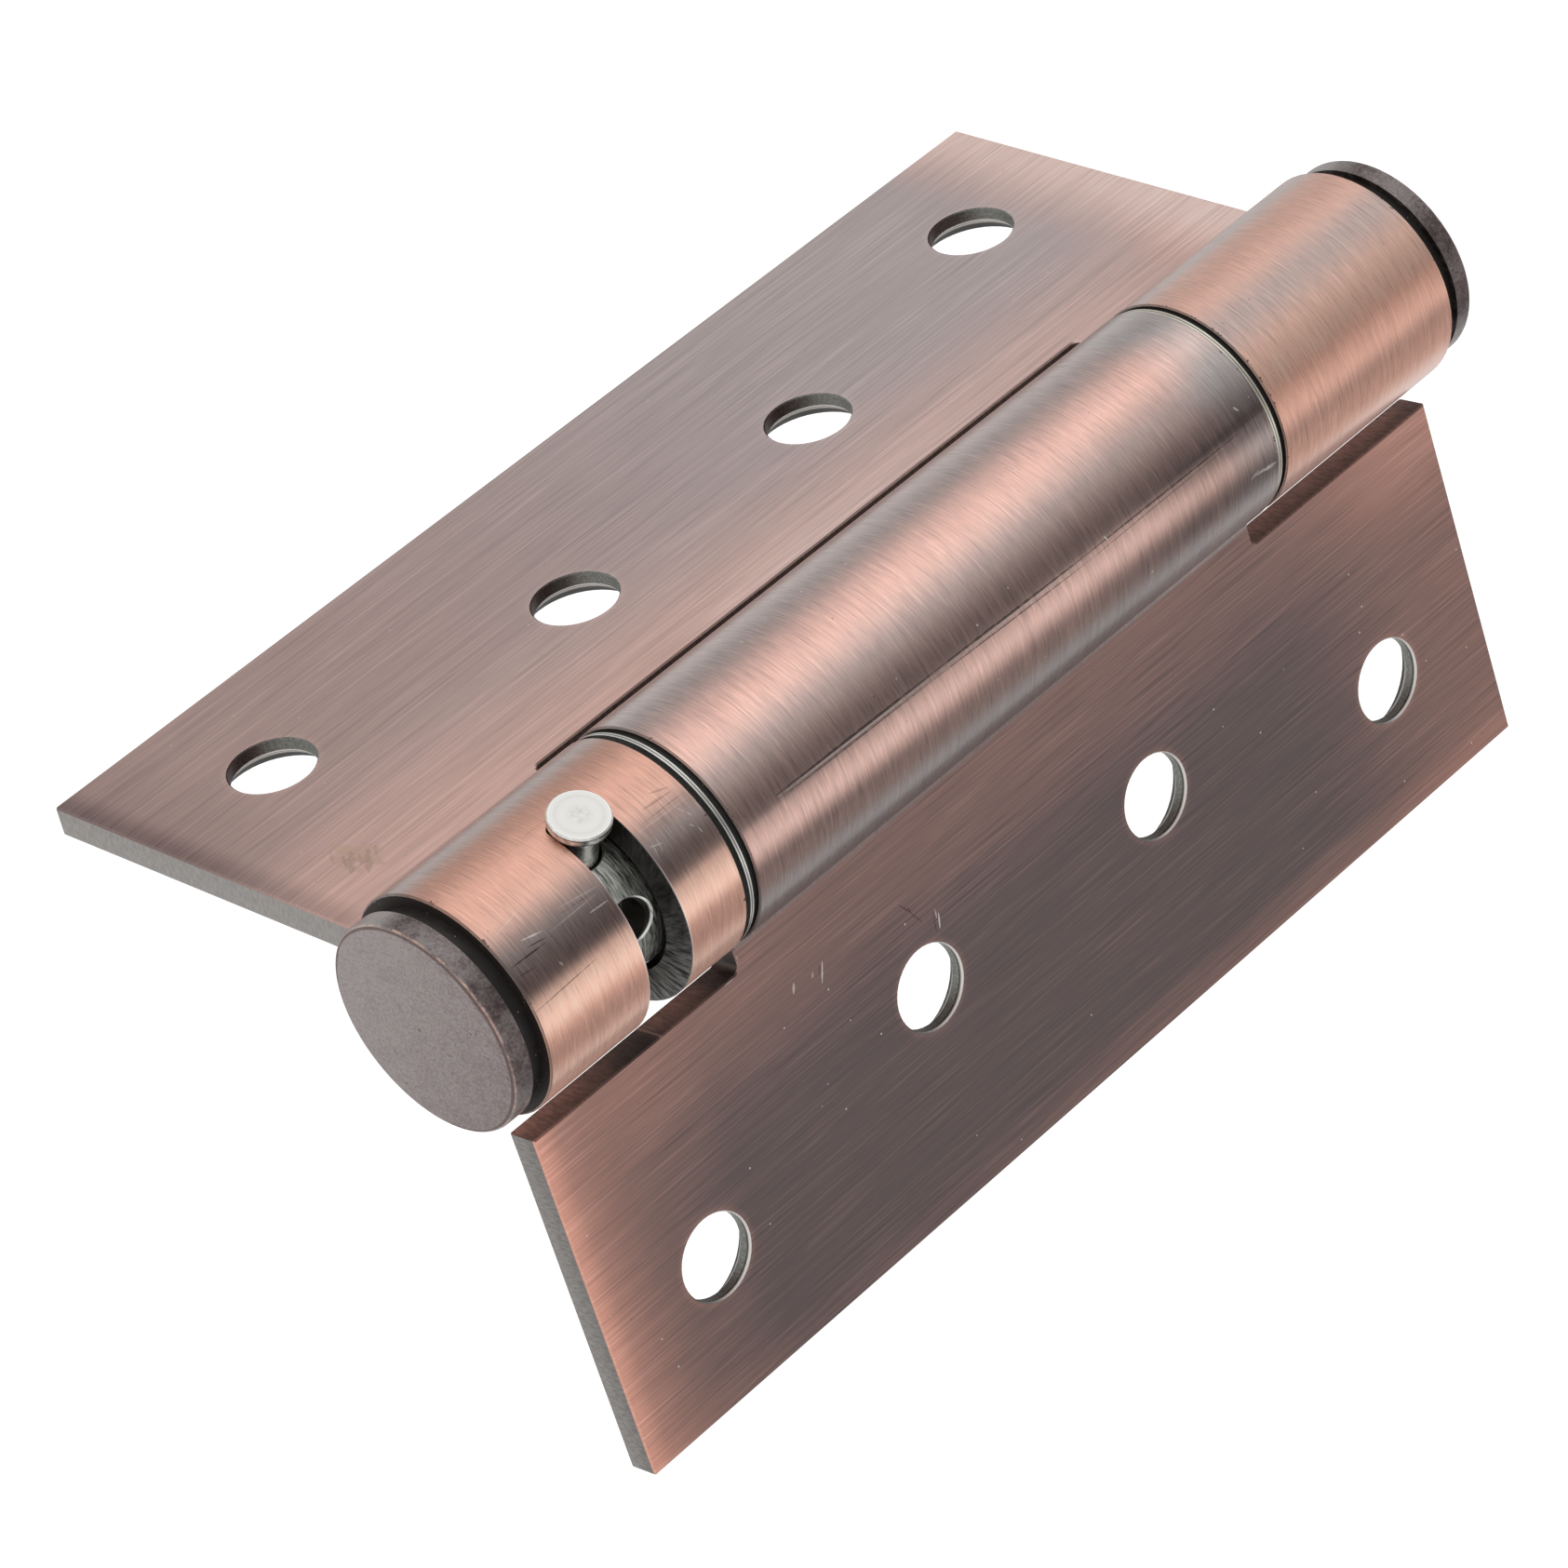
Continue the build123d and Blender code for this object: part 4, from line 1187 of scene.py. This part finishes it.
def make_turned_material():
    material, tree, shader = new_material("turned_steel")
    where = on_hinge(tree)
    grain = place(tree, brushed_grain, Place=where["Place"], Stretch=(0.12, 0.12, 1.2), Seed=21.0)
    shade = maths(tree, "MULTIPLY_ADD", grain["Lines"], 0.5, 0.5)
    shade = maths(tree, "MULTIPLY_ADD", grain["Fine"], 0.4, shade)
    shade = maths(tree, "MULTIPLY_ADD", grain["Broad"], 0.15, shade, clamp=True)
    surface = mix(tree, shade, colour(0.15, 0.155, 0.14), colour(0.98, 0.99, 0.92))
    along_out = maths(tree, "ARCTAN2", where["Facing along"], where["Facing"])
    out_angle = maths(tree, "ARCTAN2", where["Along leaf"], where["Off plane"])
    turned_away = maths(tree, "COSINE", maths(tree, "SUBTRACT", along_out, out_angle))
    level = maths(tree, "SQRT", maths(
        tree, "SUBTRACT", 1.0, times(tree, where["Facing up"], where["Facing up"]), clamp=True))
    outward = times(tree, turned_away, level)
    near_hole = fade(tree, apart(tree, where["Height"], slot_mm), hole_zone, hole_zone - 0.1)
    # Painted light round the spindle's holes: a bright ring at the chamfer's outer edge as a highlight,
    # and near black below it and inside the hole as shade.
    chamfer = times(tree, fade(tree, outward, 0.94, 0.86), near_hole)
    chamfer_highlight = fade(tree, where["Distance"], journal_radius - 0.19, journal_radius - 0.1)
    chamfer_highlight_and_shade = mix(tree, chamfer_highlight, colour(0.035, 0.03, 0.028), colour(0.95, 0.95, 0.91))
    surface = mix(tree, chamfer, surface, chamfer_highlight_and_shade)
    hole_painted_shade = times(tree, fade(tree, outward, 0.5, 0.4), near_hole)
    surface = mix(tree, hole_painted_shade, surface, colour(0.022, 0.018, 0.015))
    tree.links.new(surface, shader.inputs["Base Color"])
    tree.links.new(maths(tree, "MULTIPLY_ADD", grain["Fine"], 0.05, 0.34), shader.inputs["Roughness"])
    tree.links.new(maths(tree, "MULTIPLY_ADD", hole_painted_shade, -0.7, 1.0), shader.inputs["Metallic"])
    bump = node(tree, "ShaderNodeBump", {
        "Height": grain["Height"], "Strength": 0.6, "Distance": 0.03 * MM})
    tree.links.new(bump.outputs["Normal"], shader.inputs["Normal"])
    return material


turned_steel = make_turned_material()
print("made", turned_steel.name)

# %% [markdown]
# ## The tension pin
#
# The pin's head was faced on a lathe and tumbled: faint rings round its centre, a slightly darker,
# mottled middle and one thin ring near its rim. Its own axis isn't the hinge's, so the material
# measures the distance from the line along which the pin pulls out.

# %% Pin material
pivot = Vector((pin_axis.x, pin_axis.y, slot_height))
head_radius = 2.33
head_lines = ((9.88, 0.09, 0.75), (9.40, 0.12, 0.6))


def near_value(tree, value, target, reach):
    """1 at the target, 0 beyond the reach."""
    return fade(tree, apart(tree, value, target), reach, 0.3 * reach)


def make_pin_material():
    material, tree, shader = new_material("bright_pin")
    coordinates = tree.nodes.new("ShaderNodeTexCoord")
    offset = vector_maths(tree, "SUBTRACT", coordinates.outputs["Object"], pivot)
    in_mm = vector_maths(tree, "MULTIPLY", offset, (1000, 1000, 1000))
    axial = vector_maths(tree, "DOT_PRODUCT", in_mm, pin_direction, "Value")
    out = vector_maths(tree, "LENGTH", vector_maths(tree, "CROSS_PRODUCT", in_mm, pin_direction),
                       output="Value")
    facing = vector_maths(
        tree, "DOT_PRODUCT", coordinates.outputs["Normal"], pin_direction, "Value")
    top = fade(tree, facing, 0.6, 0.8)
    rings = node(tree, "ShaderNodeCombineXYZ", {0: out, 1: maths(tree, "MULTIPLY", axial, 0.1)})
    turned = fade(tree, noise(tree, rings.outputs[0], 6.0, 3.0, 0.6), 0.3, 0.7, -1.0, 1.0)
    mottle = fade(tree, noise(tree, in_mm, 2.4, 4.0, 0.65), 0.35, 0.65)
    middle = times(tree, fade(tree, out, 1.1, 0.3), mottle, 0.45)
    thin_ring = times(tree, near_value(tree, out, 1.72, 0.22), 0.1)
    rim = times(tree, near_value(tree, out, head_radius - 0.16, 0.1), 0.25)
    tone = total(tree, 0.8, times(tree, turned, 0.03), times(tree, mottle, 0.1),
                 times(tree, middle, -0.8), times(tree, thin_ring, -1.0), rim)
    head = mix(tree, tone, colour(0.40, 0.385, 0.365), colour(0.93, 0.91, 0.875))
    side_lines = fade(tree, noise(tree, in_mm, 3.0, 2.0), 0.35, 0.65)
    side = mix(tree, side_lines, colour(0.55, 0.54, 0.50), colour(0.95, 0.94, 0.90))
    for middle_at, half_width, strength in head_lines:
        line = times(tree, near_value(tree, axial, middle_at, half_width), strength)
        side = mix(tree, line, side, colour(0.08, 0.075, 0.07))
    surface = mix(tree, top, side, head)
    tree.links.new(surface, shader.inputs["Base Color"])
    shader.inputs["Metallic"].default_value = 1.0
    tree.links.new(maths(tree, "MULTIPLY_ADD", mottle, 0.12, 0.28), shader.inputs["Roughness"])
    bump = node(tree, "ShaderNodeBump", {
        "Height": maths(tree, "MULTIPLY_ADD", turned, 0.5, mottle), "Strength": 0.4,
        "Distance": 0.01 * MM})
    tree.links.new(bump.outputs["Normal"], shader.inputs["Normal"])
    return material


pin_steel = make_pin_material()
print("made", pin_steel.name)

# %% [markdown]
# ## Washers, nylon and spring
#
# The washers are rolled steel with a dark line round the middle of their rims. The bushes are black
# nylon, a little dusty. The spring wire is oil tempered, nearly black, with faint lines along it.

# %% Washer material
def make_washer_material(name, middle, light, dark):
    material, tree, shader = new_material(name)
    where = on_hinge(tree)
    grain = place(tree, brushed_grain, Place=where["Place"], Stretch=(0.1, 0.1, 1.0), Seed=31.0)
    shade = maths(tree, "MULTIPLY_ADD", grain["Fine"], 0.2, 0.6)
    surface = mix(tree, shade, dark, light)
    away = apart(tree, where["Height"], middle)
    surface = mix(tree, fade(tree, away, 0.07, 0.025, 0.0, 0.85), surface, colour(0.09, 0.085, 0.08))
    tree.links.new(surface, shader.inputs["Base Color"])
    shader.inputs["Metallic"].default_value = 1.0
    tree.links.new(maths(tree, "MULTIPLY_ADD", grain["Lines"], 0.05, 0.3), shader.inputs["Roughness"])
    return material


def middle_height(name):
    low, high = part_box(name)
    return (low.z + high.z) / 2 / MM


near_washer = make_washer_material(
    "bright_washer", middle_height("top_thrust_washer"),
    colour(0.92, 0.91, 0.87), colour(0.5, 0.49, 0.46),
)
far_washer = make_washer_material(
    "cream_washer", middle_height("bottom_thrust_washer"),
    colour(0.92, 0.87, 0.76), colour(0.5, 0.46, 0.38),
)
print("made", near_washer.name, "and", far_washer.name)

# %% [markdown]
# Nylon isn't a metal, so it gets a weak, wide shine instead, and its dust is the lightest thing on
# it. The spring wire is a metal again, with patches of dark oxide.

# %% Nylon and spring wire
def make_nylon_material():
    material, tree, shader = new_material("black_nylon")
    coordinates = tree.nodes.new("ShaderNodeTexCoord")
    spot = vector_maths(tree, "MULTIPLY", coordinates.outputs["Object"], (1000, 1000, 1000))
    dust = place(tree, specks, Place=spot, Spacing=0.7, Size=0.06, Share=0.2, Seed=41.0)["Mask"]
    base = mix(tree, noise(tree, spot, 1.5), colour(0.007, 0.007, 0.007), colour(0.016, 0.015, 0.014))
    surface = mix(tree, times(tree, dust, 0.6), base, colour(0.3, 0.28, 0.25))
    tree.links.new(surface, shader.inputs["Base Color"])
    shader.inputs["Specular IOR Level"].default_value = 0.3
    rough = fade(tree, noise(tree, spot, 3.0, 3.0), 0.3, 0.7, 0.45, 0.65)
    tree.links.new(rough, shader.inputs["Roughness"])
    return material


def make_spring_material():
    material, tree, shader = new_material("spring_wire")
    where = on_hinge(tree)
    grain = place(tree, brushed_grain, Place=where["Place"], Stretch=(0.15, 0.15, 0.6), Seed=51.0)
    scale = fade(tree, noise(tree, where["Place"], 0.8, 3.0), 0.35, 0.65)
    base = mix(tree, scale, colour(0.09, 0.085, 0.085), colour(0.20, 0.175, 0.16))
    shade = maths(tree, "MULTIPLY_ADD", grain["Fine"], 0.25, 1.0)
    tree.links.new(mix(tree, 1.0, base, shade, "MULTIPLY"), shader.inputs["Base Color"])
    shader.inputs["Metallic"].default_value = 1.0
    tree.links.new(maths(tree, "MULTIPLY_ADD", scale, 0.12, 0.32), shader.inputs["Roughness"])
    return material


nylon = make_nylon_material()
spring_steel = make_spring_material()
print("made", nylon.name, "and", spring_steel.name)

# %% [markdown]
# ## The torsion spring
#
# The spring is one wire. It is wound round the spindle's arbor and bent in at both ends: the top end sits
# in the spindle's slot, and the bottom end in the plug's, which turns with the door. A rigid spring would
# cut through one of them when the door moves, so the wire is built here as a tube that follows its own
# line, in two halves that meet in the middle of the coil.

# %% Line of the spring's wire
wire_radius = 1.2
coil_radius = 5.0
coil_pitch = 2.6
bend_radius = 1.6
bend_steps = 8
end_overhang = 3.0
elbow_radius = 1.23
spring_low, spring_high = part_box("torsion_spring")
coil_bottom = spring_low.z / MM + elbow_radius
coil_top = spring_high.z / MM - elbow_radius
coil_turn = math.tau * (coil_top - coil_bottom) / coil_pitch
bend_reach = math.sqrt((coil_radius - bend_radius) ** 2 - bend_radius ** 2)
bend_turn = math.atan2(bend_radius, bend_reach)


def round_axis(radius, angle, height):
    """A point in metres, from its place round the pin axis in millimetres."""
    place_on = Vector((radius * math.cos(angle), radius * math.sin(angle), height))
    return Vector((pin_axis.x, pin_axis.y, 0)) + place_on * MM


def bent_end(angle, height, side):
    """The straight end across the axis, and the bend that leads it into the coil."""
    run = [(-end_overhang, 0.0), (0.0, 0.0)]
    for step in range(bend_steps + 1):
        swing = (math.pi / 2 + bend_turn) * step / bend_steps
        run.append((bend_reach + bend_radius * math.sin(swing), bend_radius * (1 - math.cos(swing))))
    line = []
    for index, (out, beside) in enumerate(run):
        rise = bend_turn / math.tau * coil_pitch * max(0, index - 2) / bend_steps
        point = round_axis(math.hypot(out, beside), angle + side * math.atan2(beside, out), 0)
        line.append(point + Vector((0, 0, (height + side * rise) * MM)))
    return line


low_end = bent_end(0.0, coil_bottom, 1)
top_end = bent_end(coil_turn, coil_top, -1)
coil_steps = 340
coil = []
for step in range(1, coil_steps):
    angle = bend_turn + (coil_turn - 2 * bend_turn) * step / coil_steps
    coil.append(round_axis(coil_radius, angle, coil_bottom + angle / math.tau * coil_pitch))
wire_line = low_end + coil + top_end[::-1]
print(f"{coil_turn / math.tau:.1f} turns, {len(wire_line)} points along the wire")

# %% [markdown]
# A ring of points is set square across the wire at every point of its line, and the rings are joined into
# a tube. Both halves use the same ring where they meet.

# %% Build the spring's two halves
def rings_along(line, radius, sides=16):
    """Circles across a line, each as a list of points."""
    up = Vector((0, 0, 1))
    rings = []
    for index, point in enumerate(line):
        run = (line[min(index + 1, len(line) - 1)] - line[max(index - 1, 0)]).normalized()
        up = (up - run * up.dot(run)).normalized()
        beside = run.cross(up)
        ring = []
        for side in range(sides):
            turn = math.tau * side / sides
            ring.append(point + radius * (math.cos(turn) * up + math.sin(turn) * beside))
        rings.append(ring)
    return rings


def make_wire(name, rings, finish):
    """A closed tube from its rings."""
    shape = bmesh.new()
    corners = [[shape.verts.new(point) for point in ring] for ring in rings]
    for first, second in zip(corners, corners[1:]):
        for side in range(len(first)):
            after = (side + 1) % len(first)
            face = shape.faces.new((first[side], first[after], second[after], second[side]))
            face.smooth = True
    for end in (corners[0], corners[-1]):
        for edge in shape.faces.new(end).edges:
            edge.smooth = False
    bmesh.ops.recalc_face_normals(shape, faces=shape.faces)
    mesh = bpy.data.meshes.new(name)
    shape.to_mesh(mesh)
    shape.free()
    mesh.materials.append(finish)
    wire = bpy.data.objects.new(name, mesh)
    bpy.context.scene.collection.objects.link(wire)
    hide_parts("torsion_spring")
    return wire


wire_rings = rings_along(wire_line, wire_radius * MM)
half = len(wire_rings) // 2
upper_wire = make_wire("torsion_spring_upper", wire_rings[half:], spring_steel)
lower_wire = make_wire("torsion_spring_lower", wire_rings[:half + 1], spring_steel)
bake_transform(upper_wire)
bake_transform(lower_wire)

# %% [markdown]
# ## Finishes on the pieces
#
# The pieces from CAD keep their shape, and a finish goes into each one's material slots. The two
# halves of the spring have theirs already.

# %% Give each node its finish
finishes = {
    "frame_leaf": frame_leaf_finish,
    "door_leaf": door_leaf_finish,
    "adjusting_spindle": turned_steel,
    "tension_pin": pin_steel,
    "anchor_plug": turned_steel,
    "top_knuckle_bush": nylon,
    "top_thrust_washer": near_washer,
    "barrel_bush": nylon,
    "bottom_thrust_washer": far_washer,
    "bottom_knuckle_bush": nylon,
    "top_end_cap": cap_plate,
    "bottom_end_cap": cap_plate,
}
for name, material in finishes.items():
    slots = frame["nodes"][name].material_slots
    for slot in slots:
        slot.material = material
    print(name, "gets", material.name, "in", len(slots), "slot")

# %% [markdown]
# ## Light
#
# Brushed metal shows its surroundings, so the light is set up as for product photographs: the piece
# stands in a tent of white cloth that is lit from outside, brightly in front and on one side, and
# left dim in between, which gives the metal its bands. The tent here is a sphere round the hinge
# whose brightness changes with the compass direction below the horizon, and is even above it. Only
# reflections see it.

# %% The light tent
tent_radius = 0.3
tent_levels = (
    (0, 0.68), (20, 0.6), (40, 0.48), (58, 0.9), (74, 1.05), (90, 0.82), (106, 0.53), (122, 0.48),
    (138, 0.6), (154, 0.98), (170, 0.67), (187, 0.36), (204, 0.38), (220, 0.5), (236, 0.7),
    (252, 0.95), (268, 1.06), (284, 0.94), (300, 0.74), (316, 0.62), (332, 0.6), (348, 0.66),
    (360, 0.68),
)
tent_top_level = 0.8


def make_tent_material():
    material = bpy.data.materials.new("light_tent")
    material.use_nodes = True
    tree = material.node_tree
    tree.nodes.clear()
    coordinates = tree.nodes.new("ShaderNodeTexCoord")
    parts = node(tree, "ShaderNodeSeparateXYZ", {0: coordinates.outputs["Object"]})
    compass = maths(tree, "ARCTAN2", parts.outputs["Y"], parts.outputs["X"])
    turn = maths(tree, "FRACT", maths(tree, "MULTIPLY_ADD", compass, 1 / math.tau, 1.0))
    band = ramp(tree, turn, [(degrees / 360, level) for degrees, level in tent_levels])
    upper = fade(tree, parts.outputs["Z"], 0.0, 0.14)
    level = blend_values(tree, upper, band, tent_top_level)
    glow = node(tree, "ShaderNodeEmission", {"Color": colour(1, 1, 1), "Strength": level})
    output = tree.nodes.new("ShaderNodeOutputMaterial")
    tree.links.new(glow.outputs["Emission"], output.inputs["Surface"])
    return material


def make_tent():
    mesh = bpy.data.meshes.new("light_tent")
    shape = bmesh.new()
    bmesh.ops.create_uvsphere(shape, u_segments=96, v_segments=48, radius=tent_radius)
    shape.to_mesh(mesh)
    shape.free()
    mesh.materials.append(make_tent_material())
    tent = bpy.data.objects.new("light_tent", mesh)
    bpy.context.scene.collection.objects.link(tent)
    tent.location = pin_axis
    tent.visible_camera = False
    tent.visible_diffuse = False
    tent.visible_shadow = False
    return tent


tent = make_tent()
print("light tent", tent.dimensions[:])

# %% [markdown]
# The world is an even white, which fills the shadows. A large softbox from the front and above gives
# the light a direction. A pale floor takes the soft shadow. Light Path makes the world and the floor
# white for the camera and for reflections only, so the background is white without more light on
# the hinge.

# %% World, key light and floor
world = bpy.data.worlds.new("studio")
world.use_nodes = True
world.cycles.sampling_method = "NONE"
bpy.context.scene.world = world
sky = world.node_tree
sky.nodes.clear()


def seen_directly(tree):
    """1 for rays from the camera and in reflections, where the background is to be white."""
    path = tree.nodes.new("ShaderNodeLightPath")
    seen = maths(tree, "MAXIMUM", path.outputs["Is Camera Ray"], path.outputs["Is Glossy Ray"])
    return maths(tree, "MAXIMUM", seen, path.outputs["Is Transmission Ray"])


strength = blend_values(sky, seen_directly(sky), 0.75, 1.0)
background = node(sky, "ShaderNodeBackground", {"Color": colour(1, 1, 1), "Strength": strength})
sky_output = sky.nodes.new("ShaderNodeOutputWorld")
sky.links.new(background.outputs["Background"], sky_output.inputs["Surface"])

key_data = bpy.data.lights.new("key_softbox", "AREA")
key_data.shape = "RECTANGLE"
key_data.size, key_data.size_y = 0.5, 0.5
key_data.energy = 4.0
key = bpy.data.objects.new("key_softbox", key_data)
bpy.context.scene.collection.objects.link(key)
key.location = (-0.1, -0.7, 0.4)
key.rotation_mode = "QUATERNION"
key.rotation_quaternion = (pin_axis - key.location).to_track_quat("-Z", "Y")
key.visible_camera = False
key.visible_glossy = False

floor_drop = -0.33
floor_half = 6.0
floor_mesh = bpy.data.meshes.new("studio_floor")
floor_mesh.from_pydata(
    [(-floor_half, -floor_half, 0), (floor_half, -floor_half, 0),
     (floor_half, floor_half, 0), (-floor_half, floor_half, 0)], [], [(0, 1, 2, 3)])
floor = bpy.data.objects.new("studio_floor", floor_mesh)
floor.location.z = floor_drop
bpy.context.scene.collection.objects.link(floor)
floor_finish = bpy.data.materials.new("studio_floor")
floor_finish.use_nodes = True
tree = floor_finish.node_tree
tree.nodes.clear()
matt = node(tree, "ShaderNodeBsdfDiffuse", {"Color": colour(0.8, 0.8, 0.8)})
lift = node(tree, "ShaderNodeEmission", {
    "Color": colour(1, 1, 1), "Strength": maths(tree, "MULTIPLY", seen_directly(tree), 0.45)})
both = node(tree, "ShaderNodeAddShader", {0: matt.outputs[0], 1: lift.outputs[0]})
output = tree.nodes.new("ShaderNodeOutputMaterial")
tree.links.new(both.outputs[0], output.inputs["Surface"])
floor_mesh.materials.append(floor_finish)
print("world", world.name, "key light", key.name, "floor", floor.name)
